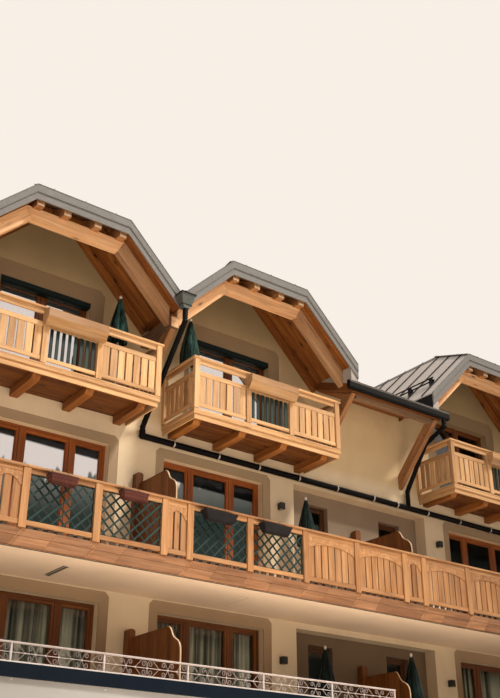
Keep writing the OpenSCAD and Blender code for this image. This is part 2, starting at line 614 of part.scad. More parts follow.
/* ---------- small pieces ---------- */
module screen(z, y1, h, p, t) {
  // boarded screen square to the wall with a wall post t high; its top is level as far as p, then it sweeps down to the front edge
  side_plate(-22, 22, [[y1 - 145, z + 30], [y1 - 145, z + h], [y1 - p, z + h - 6], [y1 - p - 45, z + h - 30], [y1 - p - 79, z + h - 72],
    [y1 - p - 105, z + h - 120], [y1 - p - 134, z + h - 168], [y1 - p - 165, z + h - 200], [y1 - p - 203, z + h - 225],
    [y1 - p - 245, z + h - 246], [y1 - p - 285, z + h - 271], [y1 - p - 325, z + h - 311], [y1 - p - 350, z + h - 351],
    [y1 - p - 368, z + h - 401], [y1 - p - 375, z + h - 456], [y1 - p - 375, z + 30]]);
  difference() {
    box(-106, 45, y1 - 150, y1 - g, z + g, z + t);
    plate(y1 - 200, y1 + 100, [[-111, z + t + 10], [-111, z + t - 40], [-81, z + t + 1], [20, z + t + 1], [50, z + t - 40], [50, z + t + 10]]);
  }
}
module privacy_screens() {
  color([0.33, 0.17, 0.08]) union() {
    both() translate([-valley, 0, first_z]) screen(0, 0, 1980, 1320, 2122);
    both() translate([-valley, 0, second_z]) screen(0, 0, 1825, 1033, 2028);
    translate([0, 0, first_z]) screen(0, rec_d - 20, 1900, 1010, 2122);
    translate([0, 0, second_z]) screen(0, rec_d - 20, 1725, 1343, 2028);
  }
}
module frame3(c, z0, z1, w, bars, y) {
  // timber window frame with uprights; y is the frame's front face
  difference() {
    box(c - w / 2 + g, c + w / 2 - g, y, y + 90, z0 + g, z1 - g);
    xs = concat([c - w / 2], bars, [c + w / 2]);
    for (i = [0:len(xs) - 2]) {
      a = xs[i] + (i == 0 ? 105 : 98);
      b = xs[i + 1] - (i == len(xs) - 2 ? 105 : 98);
      box(a, b, y - 10, y + 100, z0 + 110, z1 - 105);
    }
  }
}
module glass3(c, z0, z1, w, bars, y) {
  xs = concat([c - w / 2], bars, [c + w / 2]);
  for (i = [0:len(xs) - 2]) {
    a = xs[i] + (i == 0 ? 105 : 98);
    b = xs[i + 1] - (i == len(xs) - 2 ? 105 : 98);
    box(a + g, b - g, y + 45, y + 69, z0 + 110 + g, z1 - 105 - g);
  }
}
module front_windows(f) {
  for (c = tri) for (z = [first_z, second_z])
    if (f) frame3(c, z, z + win_h, win_w, [c - 500, c + 500], reveal); else glass3(c, z, z + win_h, win_w, [c - 500, c + 500], reveal);
  for (c = gables)
    if (f) frame3(c, attic_z, 11490, attic_win_w, [c], reveal); else glass3(c, attic_z, 11490, attic_win_w, [c], reveal);
  for (z = [first_z, second_z]) for (c = [-1090, 1090])
    if (f) frame3(c, z, z + 2420, 654, [], rec_d + 120); else glass3(c, z, z + 2420, 654, [], rec_d + 120);
  for (c = concat(tri, [0]))
    if (f) frame3(c, 900, 2300, 1800, [c], -terrace_d + 60 + 120); else glass3(c, 900, 2300, 1800, [c], -terrace_d + 60 + 120);
}
module side_windows(f) {
  for (c = tri) for (z = [900, first_z + 900, second_z + 900])
    translate([0, body_depth, 0]) mirror([0, 1, 0]) if (f) frame3(c, z, z + 1400, 1400, [c], 120); else glass3(c, z, z + 1400, 1400, [c], 120);
  both() translate([-hl, 0, 0]) rotate([0, 0, -90]) mirror([1, 0, 0]) mirror([0, 0, 0]) {
    for (y = [2600, 6000, 9400]) for (z = [900, first_z + 900, second_z + 900])
      if (f) frame3(y, z, z + 1400, 1200, [y], 120); else glass3(y, z, z + 1400, 1200, [y], 120);
    if (f) frame3(6000, attic_z + 900, attic_z + 2300, 1200, [6000], 120); else glass3(6000, attic_z + 900, attic_z + 2300, 1200, [6000], 120);
  }
}
module window_frames_front() { color([0.42, 0.19, 0.10]) front_windows(true); }
module window_glass_front() { color([0.7, 0.75, 0.78, 0.4]) front_windows(false); }
module window_frames_sides() { color([0.42, 0.19, 0.10]) side_windows(true); }
module window_glass_sides() { color([0.7, 0.75, 0.78, 0.4]) side_windows(false); }
module awning_boxes() {
  // dark green awning cassettes across the tops of the two left-hand attic windows
  color([0.03, 0.10, 0.09]) for (c = [gables[0], gables[1]]) box(c - attic_win_w / 2 + 2, c + attic_win_w / 2 - 2, -10, reveal - g, 11490 - 115, 11490 - g);
}
// folded parasols on two attic balconies, the long balcony and the terrace
parasols = [[-6682, -530, attic_z], [-5068, -593, attic_z], [-1979, -420, second_z], [258, -937, first_z], [-1655, -505, first_z]];
module parasol_stands() {
  // a round foot with a socket, the pole and the pale cap on its top
  color([0.80, 0.78, 0.74]) for (p = parasols) translate([p[0], p[1], p[2] + g]) union() {
    cylinder(r = 170, h = 55, $fn = 48);
    cylinder(r = 34, h = 210, $fn = 32);
    cylinder(r = 19, h = 2230, $fn = 24);
    translate([0, 0, 2200 + g]) cylinder(r1 = 30, r2 = 9, h = 50, $fn = 24);
  }
}
module parasol_canopies() {
  // the folded cloth as a plain cone round the pole
  color([0.06, 0.16, 0.13]) for (p = parasols) translate([p[0], p[1], p[2] + g]) difference() {
    translate([0, 0, 1200]) cylinder(r1 = 195, r2 = 28, h = 1000, $fn = 48);
    translate([0, 0, 1100]) cylinder(r = 19 + g, h = 1200, $fn = 24);
  }
}
module curtains() {
  // pleated curtains hanging from the window heads behind the first-floor glass
  color([0.55, 0.52, 0.45]) for (c = tri)
    box(c - win_w / 2 + 25, c + win_w / 2 - 25, reveal + 120, reveal + 160, first_z + 25, first_z + win_h - g);
}
module wall_lamps() {
  color([0.05, 0.05, 0.05]) for (x = [-2347, 2347]) for (z = [[5159 - 50, 0], [8218, 0]])
    box(x - 55, x + 55, -130, -g, z[0] - 70, z[0] + 70);
}

front_wall();
back_wall();
left_wall();
right_wall();
recess_wall();
terrace_wall();
ground_floor();
first_floor();
second_floor();
attic_floor();
terrace_deck();
terrace_band();
scroll_railing();
balcony_slab();
roof_covering();
roof_deck();
verge_fascias();
gable_frames();
wall_rafters();
rafter_tails();
valley_beams();
knee_braces();
gutters();
rain_hoppers();
downpipes();
collector_pipes();
pipe_clamps();
snow_guards();
attic_balcony_decks();
attic_balcony_brackets();
attic_balcony_fascias();
attic_balcony_railings();
attic_balcony_boards();
attic_balcony_slats();
flower_troughs();
balcony_fascia();
balcony_railing();
balcony_boards();
balcony_lattices();
brown_planters();
dark_planters();
privacy_screens();
window_frames_front();
window_frames_sides();
window_glass_front();
window_glass_sides();
awning_boxes();
wall_lamps();
curtains();
parasol_stands();
parasol_canopies();
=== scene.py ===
import math
import random
import bmesh
import bpy
from mathutils import Matrix, Vector


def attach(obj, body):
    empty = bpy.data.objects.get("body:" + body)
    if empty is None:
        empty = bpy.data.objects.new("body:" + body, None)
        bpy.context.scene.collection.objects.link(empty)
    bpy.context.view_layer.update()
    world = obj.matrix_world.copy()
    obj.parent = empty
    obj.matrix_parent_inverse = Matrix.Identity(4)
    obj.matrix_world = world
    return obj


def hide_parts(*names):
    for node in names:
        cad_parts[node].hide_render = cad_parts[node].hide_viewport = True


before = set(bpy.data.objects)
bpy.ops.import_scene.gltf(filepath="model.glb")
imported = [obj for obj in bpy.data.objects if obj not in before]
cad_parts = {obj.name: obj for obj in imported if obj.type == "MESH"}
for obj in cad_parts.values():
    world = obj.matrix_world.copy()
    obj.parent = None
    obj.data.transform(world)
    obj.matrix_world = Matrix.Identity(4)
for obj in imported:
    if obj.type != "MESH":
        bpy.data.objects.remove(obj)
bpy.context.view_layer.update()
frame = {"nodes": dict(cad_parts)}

# ------------------------------------------------------------------ camera
YAW, PITCH = math.radians(36.77), math.radians(27.17)
fwd = Vector((math.sin(YAW) * math.cos(PITCH), math.cos(YAW) * math.cos(PITCH), math.sin(PITCH)))
right = Vector((math.cos(YAW), -math.sin(YAW), 0.0))
up = right.cross(fwd)
cam_data = bpy.data.cameras.new("photo_camera")
cam = bpy.data.objects.new("photo_camera", cam_data)
bpy.context.scene.collection.objects.link(cam)
cam_data.sensor_fit, cam_data.sensor_width, cam_data.lens = "AUTO", 36.0, 51.75
cam_data.clip_start, cam_data.clip_end = 0.1, 500.0
m = Matrix((right, up, -fwd)).transposed().to_4x4()
m.translation = Vector((-14.878, -15.743, 1.600))
cam.matrix_world = m
bpy.context.scene.camera = cam

# ------------------------------------------------------------------ the building's numbers, in mm, as in the CAD
HL, DEPTH = 10600.0, 12000.0
FIRST, SECOND, ATTIC = 3153.0, 6150.0, 9300.0
EAVE, SLOPE, GZ, OVER = 10910.0, 0.404, 13724.0, 1323.0
T_ALL, COVER = 252.0, 60.0
G_IN, G_OUT = 3558.0, 8003.0
GABLES = (-G_OUT, -G_IN, G_IN, G_OUT)
VALLEY = (G_IN + G_OUT) / 2
HALF_V = (G_OUT - G_IN) / 2
EDGE = 2394.0
TRI = (-7630.0, -3990.0, 3990.0, 7630.0)
REC, REC_D = 1963.0, 300.0
HIP_W, HIP_RUN = 987.0, 1890.0
HY = HIP_RUN - OVER
RIDGE_Y = DEPTH / 2
MAIN_R = EAVE + SLOPE * (RIDGE_Y + OVER)
WIN_W, WIN_H, REVEAL = 2430.0, 2513.0, 170.0
LB_Y, LB_TOP = -1743.0, 7190.0
AB_Y, AB_TOP, AB_H, AB_DX = -1165.0, 10400.0, 1845.0, 100.0
TER_Y = -2720.0
G = 0.5
POSTS = (-10535, -9370, -8774, -7493, -6212, -5698, -4413, -3127, -1844, -571, -31,
         1271, 2552, 3833, 5114, 5640, 6920, 8201, 9482, 10535)
FIELDS = (0, 0, 1, 1, 0, 1, 1, 0, 0, 0, 0, 0, 0, 0, 0, 0, 0, 0, 0)


def outer_side(c):
    """-1 or 1: the side of a gable that has a free edge."""
    return {-G_OUT: -1, -G_IN: 1, G_IN: -1, G_OUT: 1}[c]


def reach(c, s):
    return EDGE if s == outer_side(c) else HALF_V


def meet_y(a):
    return (GZ - a - EAVE) / SLOPE - OVER


# ------------------------------------------------------------------ mesh builder
X, Y, Z = Vector((1, 0, 0)), Vector((0, 1, 0)), Vector((0, 0, 1))
AX = {"x": (X, Y, Z), "y": (Y, X, Z), "z": (Z, X, Y)}


class Builder:
    """Collects members in millimetres. Each has its own grain coordinates and its own tone."""

    def __init__(self, seed):
        self.v, self.f, self.g, self.t = [], [], [], []
        self.r = random.Random(seed)

    def member(self, pts, faces, axes, tone=None, origin=None):
        k = len(self.v)
        tone = self.r.random() if tone is None else tone
        off = [self.r.random() * 37.0 for _ in range(3)]
        o = origin or Vector(pts[0])
        for p in pts:
            p = Vector(p)
            d = p - o
            self.v.append(p / 1000.0)
            self.g.append([d.dot(axes[i]) / 1000.0 + off[i] for i in range(3)])
            self.t.append(tone)
        for f in faces:
            self.f.append([i + k for i in f])

    def box(self, x0, x1, y0, y1, z0, z1, along="x", tone=None):
        p = [(x0, y0, z0), (x1, y0, z0), (x1, y1, z0), (x0, y1, z0), (x0, y0, z1), (x1, y0, z1), (x1, y1, z1), (x0, y1, z1)]
        self.member(p, [(0, 3, 2, 1), (4, 5, 6, 7), (0, 1, 5, 4), (1, 2, 6, 5), (2, 3, 7, 6), (3, 0, 4, 7)], AX[along], tone)

    def prism(self, poly, axis, a, b, along=None, tone=None):
        """A polygon drawn across an axis, from a to b: 'x' takes (y, z), 'y' takes (x, z), 'z' takes (x, y)."""
        def put(p, q):
            return {"x": (q, p[0], p[1]), "y": (p[0], q, p[1]), "z": (p[0], p[1], q)}[axis]
        n = len(poly)
        pts = [put(p, a) for p in poly] + [put(p, b) for p in poly]
        faces = [tuple(range(n)), tuple(range(2 * n - 1, n - 1, -1))] + [(i, (i + 1) % n, n + (i + 1) % n, n + i) for i in range(n)]
        if along is None:
            along = Vector(AX[axis][0])
        along = Vector(along).normalized()
        other = along.cross({"x": X, "y": Y, "z": Z}[axis])
        if other.length < 0.1:
            other = AX[axis][1]
        other = other.normalized()
        self.member(pts, faces, (along, other, along.cross(other)), tone)

    def plan(self, poly, zf, d0, d1, along=X, tone=None):
        """An upright prism over a plan polygon between two copies of the sloping surface zf."""
        n = len(poly)
        pts = [(x, y, zf(x, y) + d0) for x, y in poly] + [(x, y, zf(x, y) + d1) for x, y in poly]
        faces = [tuple(range(n)), tuple(range(2 * n - 1, n - 1, -1))] + [(i, (i + 1) % n, n + (i + 1) % n, n + i) for i in range(n)]
        along = Vector(along).normalized()
        other = Z.cross(along).normalized()
        self.member(pts, faces, (along, other, along.cross(other)), tone)

    def bar(self, p, q, w, h, upv=Z, tone=None, lift=0.0):
        """A square bar from p to q, w wide and h high, standing on the line (or centred on it when lift is None)."""
        p, q = Vector(p), Vector(q)
        d = (q - p).normalized()
        s = d.cross(upv).normalized()
        n = s.cross(d).normalized()
        if lift is None:
            lo, hi = -h / 2, h / 2
        else:
            lo, hi = lift, lift + h
        pts = [e + s * a * w / 2 + n * b for e in (p, q) for a, b in ((-1, lo), (1, lo), (1, hi), (-1, hi))]
        self.member(pts, [(0, 1, 2, 3), (7, 6, 5, 4), (0, 4, 5, 1), (1, 5, 6, 2), (2, 6, 7, 3), (3, 7, 4, 0)], (d, s, n), tone)

    def tube(self, pts, r, n=8, closed=False, tone=None, flat=None):
        """A round tube through points. flat gives another half width along Y, for a flat bar."""
        pts = [Vector(p) for p in pts]
        m, rings = len(pts), []
        for i, p in enumerate(pts):
            a, b = pts[i - 1 if (i or closed) else 0], pts[(i + 1) % m if (i < m - 1 or closed) else i]
            d = (b - a).normalized()
            s = d.cross(Y)
            s = s.normalized() if s.length > 0.05 else d.cross(Z).normalized()
            w = s.cross(d).normalized()
            rings.append([p + s * math.cos(2 * math.pi * (k + 0.5) / n) * r + w * math.sin(2 * math.pi * (k + 0.5) / n) * (flat or r) for k in range(n)])
        faces = []
        for i in range(m if closed else m - 1):
            j = (i + 1) % m
            faces += [(i * n + k, i * n + (k + 1) % n, j * n + (k + 1) % n, j * n + k) for k in range(n)]
        if not closed:
            faces += [tuple(range(n)), tuple(range(m * n - 1, (m - 1) * n - 1, -1))]
        self.member([p for ring in rings for p in ring], faces, (X, Y, Z), tone)

    def lathe(self, c, prof, n=24, tone=None):
        """Turned about an upright axis through c: prof is (radius, height) from the bottom up."""
        c = Vector(c)
        pts = [c + Vector((r * math.cos(2 * math.pi * k / n), r * math.sin(2 * math.pi * k / n), h)) for r, h in prof for k in range(n)]
        faces = [(i * n + k, i * n + (k + 1) % n, (i + 1) * n + (k + 1) % n, (i + 1) * n + k) for i in range(len(prof) - 1) for k in range(n)]
        faces += [tuple(range(n)), tuple(range(len(pts) - 1, len(pts) - n - 1, -1))]
        self.member(pts, faces, (X, Y, Z), tone)

    def make(self, name, mat, slot, nodes=(), bevel=0.0, seg=1, smooth=False, angle=30.0, recalc=True):
        me = bpy.data.meshes.new(name)
        bm = bmesh.new()
        vs = [bm.verts.new(p) for p in self.v]
        for f in self.f:
            bm.faces.new([vs[i] for i in f])
        if recalc:
            bmesh.ops.recalc_face_normals(bm, faces=bm.faces)
        bm.to_mesh(me)
        bm.free()
        g = me.attributes.new("grain", "FLOAT_VECTOR", "POINT")
        g.data.foreach_set("vector", [c for p in self.g for c in p])
        t = me.attributes.new("tone", "FLOAT", "POINT")
        t.data.foreach_set("value", self.t)
        me.materials.append(mat)
        if smooth:
            me.shade_smooth()
            me.set_sharp_from_angle(angle=math.radians(angle))
        o = bpy.data.objects.new(name, me)
        bpy.context.scene.collection.objects.link(o)
        if bevel:
            b = o.modifiers.new("edges", "BEVEL")
            b.width, b.segments, b.limit_method, b.angle_limit = bevel / 1000.0, seg, "ANGLE", math.radians(38)
            b.use_clamp_overlap = True
        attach(o, "root")
        if nodes:
            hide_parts(*nodes)
        return o


def clip(poly, x0, x1, z0, z1):
    """A convex polygon cut to a rectangle."""
    def cut(ps, inside, cross):
        out = []
        for i, p in enumerate(ps):
            q = ps[(i + 1) % len(ps)]
            if inside(p):
                out.append(p)
            if inside(p) != inside(q):
                out.append(cross(p, q))
        return out
    for k, lim, s in ((0, x0, 1), (0, x1, -1), (1, z0, 1), (1, z1, -1)):
        if not poly:
            break
        def inside(p):
            return (p[k] - lim) * s >= 0
        def cross(p, q):
            t = (lim - p[k]) / (q[k] - p[k])
            return (p[0] + (q[0] - p[0]) * t, p[1] + (q[1] - p[1]) * t)
        poly = cut(poly, inside, cross)
    return poly


# ------------------------------------------------------------------ material helpers
def new_mat(name):
    mt = bpy.data.materials.new(name)
    mt.use_nodes = True
    nt = mt.node_tree
    nt.nodes.clear()
    out, b = nt.nodes.new("ShaderNodeOutputMaterial"), nt.nodes.new("ShaderNodeBsdfPrincipled")
    nt.links.new(b.outputs[0], out.inputs[0])
    return mt, nt, b


def nd(nt, kind, link=None, **vals):
    """A node of a kind, with inputs set by name or linked from link={input: socket}."""
    n = nt.nodes.new("ShaderNode" + kind)
    for k, v in vals.items():
        if k in n.inputs:
            n.inputs[k].default_value = v
        elif hasattr(n, k):
            setattr(n, k, v)
    for k, s in (link or {}).items():
        nt.links.new(s, n.inputs[k])
    return n


def ramp(nt, fac, stops, interp="LINEAR"):
    r = nt.nodes.new("ShaderNodeValToRGB")
    r.color_ramp.interpolation = interp
    e = r.color_ramp.elements
    while len(e) < len(stops):
        e.new(0.5)
    for i, (p, c) in enumerate(stops):
        e[i].position = p
        e[i].color = (c, c, c, 1) if isinstance(c, (int, float)) else (*c, 1)
    nt.links.new(fac, r.inputs[0])
    return r.outputs[0]


def mix(nt, fac, a, b, mode="MIX"):
    """Mixes two colours; each is a socket or a colour, fac a socket or a number."""
    n = nt.nodes.new("ShaderNodeMix")
    n.data_type, n.blend_type = "RGBA", mode
    for i, v in ((0, fac), (6, a), (7, b)):
        if hasattr(v, "is_output"):
            nt.links.new(v, n.inputs[i])
        else:
            n.inputs[i].default_value = v if i == 0 else (*v, 1)
    return n.outputs[2]


def scaled(nt, vec, scale, loc=(0, 0, 0)):
    n = nt.nodes.new("ShaderNodeMapping")
    n.inputs["Scale"].default_value = scale
    n.inputs["Location"].default_value = loc
    nt.links.new(vec, n.inputs["Vector"])
    return n.outputs[0]


def noise(nt, vec, scale=1.0, detail=3.0, rough=0.5, dist=0.0):
    n = nt.nodes.new("ShaderNodeTexNoise")
    n.inputs["Scale"].default_value = scale
    n.inputs["Detail"].default_value = detail
    n.inputs["Roughness"].default_value = rough
    n.inputs["Distortion"].default_value = dist
    nt.links.new(vec, n.inputs["Vector"])
    return n.outputs[0]


def calc(nt, op, a, b=0.5, clampit=False):
    n = nt.nodes.new("ShaderNodeMath")
    n.operation, n.use_clamp = op, clampit
    for i, v in ((0, a), (1, b)):
        if hasattr(v, "is_output"):
            nt.links.new(v, n.inputs[i])
        else:
            n.inputs[i].default_value = v
    return n.outputs[0]


def span(nt, v, a, b, c, d):
    n = nt.nodes.new("ShaderNodeMapRange")
    for i, x in enumerate((a, b, c, d)):
        n.inputs[i + 1].default_value = x
    nt.links.new(v, n.inputs[0])
    return n.outputs[0]


def bump(nt, b, height, strength, dist):
    n = nt.nodes.new("ShaderNodeBump")
    n.inputs["Strength"].default_value = strength
    n.inputs["Distance"].default_value = dist
    nt.links.new(height, n.inputs["Height"])
    nt.links.new(n.outputs[0], b.inputs["Normal"])


def attr(nt, name, out=1):
    n = nt.nodes.new("ShaderNodeAttribute")
    n.attribute_type, n.attribute_name = "GEOMETRY", name
    return n.outputs[out]


def by_height(nt, col, painted_light_tones):
    """Multiplies a colour by painted light and shade set at heights in metres: [(z, (r, g, b)), ...]."""
    z0, z1 = painted_light_tones[0][0], painted_light_tones[-1][0]
    z = nd(nt, "SeparateXYZ", link={"Vector": nd(nt, "TexCoord").outputs["Object"]}).outputs[2]
    return mix(nt, 1.0, col, ramp(nt, span(nt, z, z0, z1, 0.0, 1.0), [((p - z0) / (z1 - z0), c) for p, c in painted_light_tones]), "MULTIPLY")


def wood(name, dark, mid, light, knots=0.5, rough=0.62, grey=0.0, grey_col=(0.42, 0.38, 0.33), tone_lo=0.80, tone_hi=1.12, fine=1.0, painted_light_tones=None, side=1.0, knot=1.0):
    """Sawn timber: streaks along each member's own grain, knots, a tone for each member and patches of weathering;
    painted light and shade can be set by height and towards the right-hand end.
    """
    mt, nt, b = new_mat(name)
    g = attr(nt, "grain")
    tone = attr(nt, "tone", 2)
    streak = noise(nt, scaled(nt, g, (0.9 * fine, 17 * fine, 17 * fine)), 1.0, 6.0, 0.62, 0.7)
    broad = noise(nt, scaled(nt, g, (0.45, 3.2, 3.2), (5, 1, 2)), 1.0, 3.0, 0.5, 0.3)
    fibre = noise(nt, scaled(nt, g, (6, 150, 150), (1, 7, 3)), 1.0, 2.0, 0.5)
    f = calc(nt, "ADD", calc(nt, "MULTIPLY", streak, 0.62), calc(nt, "MULTIPLY", broad, 0.38))
    f = calc(nt, "ADD", f, calc(nt, "MULTIPLY", calc(nt, "SUBTRACT", fibre, 0.5), 0.10))
    col = ramp(nt, f, [(0.33, dark), (0.50, mid), (0.66, light)])
    if knots:
        v = nt.nodes.new("ShaderNodeTexVoronoi")
        v.inputs["Scale"].default_value = 1.0
        v.inputs["Randomness"].default_value = 1.0
        nt.links.new(scaled(nt, g, (1.15 * knot, 5.2, 5.2), (2, 4, 9)), v.inputs["Vector"])
        sep = nt.nodes.new("ShaderNodeSeparateColor")
        nt.links.new(v.outputs["Color"], sep.inputs[0])
        some = span(nt, sep.outputs[0], 1.0 - knots - 0.02, 1.0 - knots + 0.02, 0.0, 1.0)
        ring = ramp(nt, v.outputs["Distance"], [(0.030 * knot, 1.0), (0.055 * knot, 0.55 + 0.2 * (knot > 1)), (0.085 * knot, 0.30), (0.16 * knot, 0.0)])
        col = mix(nt, calc(nt, "MULTIPLY", ring, some), col, tuple(c * 0.28 for c in dark))
    t = ramp(nt, tone, [(0.0, (tone_lo, tone_lo * 0.93, tone_lo * 0.87)), (0.5, (0.97, 0.96, 0.94)), (1.0, (tone_hi, tone_hi, tone_hi * 0.97))])
    col = mix(nt, 1.0, col, t, "MULTIPLY")
    if grey:
        w = noise(nt, scaled(nt, g, (0.9, 2.4, 2.4), (9, 3, 1)), 1.0, 5.0, 0.65, 0.5)
        wf = calc(nt, "MULTIPLY", ramp(nt, w, [(0.42, 0.0), (0.66, 1.0)]), grey)
        col = mix(nt, wf, col, grey_col)
    # painted light and shade set by height
    if painted_light_tones:
        col = by_height(nt, col, painted_light_tones)
    # painted shade: darker from x = -2 m towards x = 6 m and beyond
    if side < 1.0:
        xx = nd(nt, "SeparateXYZ", link={"Vector": nd(nt, "TexCoord").outputs["Object"]}).outputs[0]
        col = mix(nt, 1.0, col, ramp(nt, span(nt, xx, -2.0, 6.0, 0.0, 1.0), [(0.0, (1.0, 1.0, 1.0)), (1.0, (side, side * 0.97, side * 0.95))]), "MULTIPLY")
    nt.links.new(col, b.inputs["Base Color"])
    nt.links.new(span(nt, streak, 0.2, 0.8, rough + 0.12, rough - 0.10), b.inputs["Roughness"])
    b.inputs["Specular IOR Level"].default_value = 0.35
    bump(nt, b, calc(nt, "ADD", streak, calc(nt, "MULTIPLY", fibre, 0.35)), 0.35, 0.0025)
    return mt


def coord(nt):
    return nd(nt, "TexCoord").outputs["Object"]


def plaster(name, col, rain=0.12, blotch=0.10, grain=0.5, rough=0.9, painted_light_tones=None):
    """Scraped render: fine grain, slow blotches and faint runs of dirt down the wall."""
    mt, nt, b = new_mat(name)
    o = coord(nt)
    slow = noise(nt, o, 0.55, 4.0, 0.6, 0.4)
    runs = noise(nt, scaled(nt, o, (2.6, 2.6, 0.16)), 1.0, 4.0, 0.6, 0.2)
    fine = noise(nt, o, 160.0, 3.0, 0.6)
    mid = noise(nt, o, 14.0, 4.0, 0.6)
    c = mix(nt, ramp(nt, slow, [(0.35, 0.0), (0.65, 1.0)]), tuple(x * (1 - blotch) for x in col), tuple(min(1, x * (1 + blotch * 0.6)) for x in col))
    c = mix(nt, calc(nt, "MULTIPLY", ramp(nt, runs, [(0.50, 0.0), (0.74, 1.0)]), rain), c, tuple(x * f for x, f in zip(col, (0.62, 0.55, 0.46))))
    c = mix(nt, calc(nt, "MULTIPLY", mid, 0.10), c, tuple(x * 0.75 for x in col))
    # painted light and shade set by height, on the front faces only
    if painted_light_tones:
        front = span(nt, nd(nt, "SeparateXYZ", link={"Vector": o}).outputs[1], 0.4, 0.9, 1.0, 0.0)
        c = mix(nt, front, c, by_height(nt, c, painted_light_tones))
    nt.links.new(c, b.inputs["Base Color"])
    b.inputs["Roughness"].default_value = rough
    b.inputs["Specular IOR Level"].default_value = 0.2
    bump(nt, b, calc(nt, "ADD", calc(nt, "MULTIPLY", fine, 0.5), calc(nt, "MULTIPLY", mid, 0.8)), grain, 0.003)
    return mt


def metal(name, col, rough=0.45, metallic=0.0, dirt=0.25, dirt_col=None, scale=(1.0, 1.0, 1.0), coat=0.0, spec=0.5):
    """Painted or bare sheet: slight waviness, dust and worn patches."""
    mt, nt, b = new_mat(name)
    o = coord(nt)
    a = noise(nt, scaled(nt, o, scale), 1.7, 5.0, 0.6, 0.3)
    s = noise(nt, scaled(nt, o, (scale[0] * 9, scale[1] * 9, scale[2] * 9)), 1.0, 4.0, 0.65)
    c = mix(nt, calc(nt, "MULTIPLY", ramp(nt, a, [(0.35, 0.0), (0.7, 1.0)]), dirt), col, dirt_col or tuple(x * 0.6 + 0.06 for x in col))
    c = mix(nt, calc(nt, "MULTIPLY", ramp(nt, s, [(0.45, 0.0), (0.75, 1.0)]), dirt * 0.6), c, tuple(x * 0.72 for x in col))
    nt.links.new(c, b.inputs["Base Color"])
    b.inputs["Metallic"].default_value = metallic
    b.inputs["Specular IOR Level"].default_value = spec
    if coat:
        b.inputs["Coat Weight"].default_value = coat
        b.inputs["Coat Roughness"].default_value = 0.2
    nt.links.new(span(nt, s, 0.25, 0.75, max(0.05, rough - 0.08), rough + 0.12), b.inputs["Roughness"])
    bump(nt, b, a, 0.15, 0.004)
    return mt


def glass(name, tint=(0.80, 0.86, 0.86), rough=0.01, mirror=0.74):
    """Coated double glazing: clear, with a strong reflection of the sky; the reflection is masked by height and x as
    painted reflection and shade, and the glass is darker above 6.2 m as painted shade.
    """
    mt, nt, b = new_mat(name)
    o = coord(nt)
    n = noise(nt, o, 2.2, 2.0, 0.5)
    # painted shade: the glass tint darkens above 6.2 m
    painted_shade_tint = by_height(nt, mix(nt, n, tint, tuple(min(1, x * 1.06) for x in tint)), [(5.6, (1.0, 1.0, 1.0)), (6.2, (0.40, 0.40, 0.40)), (13.0, (0.40, 0.40, 0.40))])
    nt.links.new(painted_shade_tint, b.inputs["Base Color"])
    b.inputs["Transmission Weight"].default_value = 1.0
    b.inputs["Roughness"].default_value = rough
    b.inputs["IOR"].default_value = 1.05
    gl = nt.nodes.new("ShaderNodeBsdfGlossy")
    gl.inputs["Roughness"].default_value = 0.012
    gl.inputs["Color"].default_value = (0.98, 0.95, 0.93, 1)
    lw = nt.nodes.new("ShaderNodeLayerWeight")
    lw.inputs["Blend"].default_value = 0.35
    bp = nt.nodes.new("ShaderNodeBump")
    bp.inputs["Strength"].default_value = 0.04
    bp.inputs["Distance"].default_value = 0.01
    nt.links.new(noise(nt, o, 1.1, 2.0, 0.5), bp.inputs["Height"])
    nt.links.new(bp.outputs[0], gl.inputs["Normal"])
    mx = nt.nodes.new("ShaderNodeMixShader")
    xyz = nd(nt, "SeparateXYZ", link={"Vector": o})
    zz = calc(nt, "ADD", xyz.outputs[2], span(nt, xyz.outputs[0], -8.6, 0.0, 0.0, 0.26))
    # painted reflection and shade: the mirror strength is set by height, with almost none below about 6.1 m and a dark
    # band from about 8.45 m to 9.25 m where the balconies above would be reflected
    high = ramp(nt, span(nt, zz, 5.0, 10.0, 0.0, 1.0), [(0.218, 0.035), (0.232, 1.0), (0.684, 1.0), (0.690, 0.02), (0.82, 0.02), (0.85, 1.0)])
    # painted shade: the reflection fades out over the right-hand half, which faces dark woods
    high = calc(nt, "MULTIPLY", high, ramp(nt, span(nt, xyz.outputs[0], 0.0, 4.0, 0.0, 1.0), [(0.12, 1.0), (0.45, 0.10)]))
    nt.links.new(calc(nt, "MULTIPLY", span(nt, lw.outputs["Facing"], 0.0, 1.0, mirror * 0.9, min(1.0, mirror * 1.25)), high), mx.inputs[0])
    nt.links.new(b.outputs[0], mx.inputs[1])
    nt.links.new(gl.outputs[0], mx.inputs[2])
    out = next(q for q in nt.nodes if q.type == "OUTPUT_MATERIAL")
    nt.links.new(mx.outputs[0], out.inputs[0])
    return mt


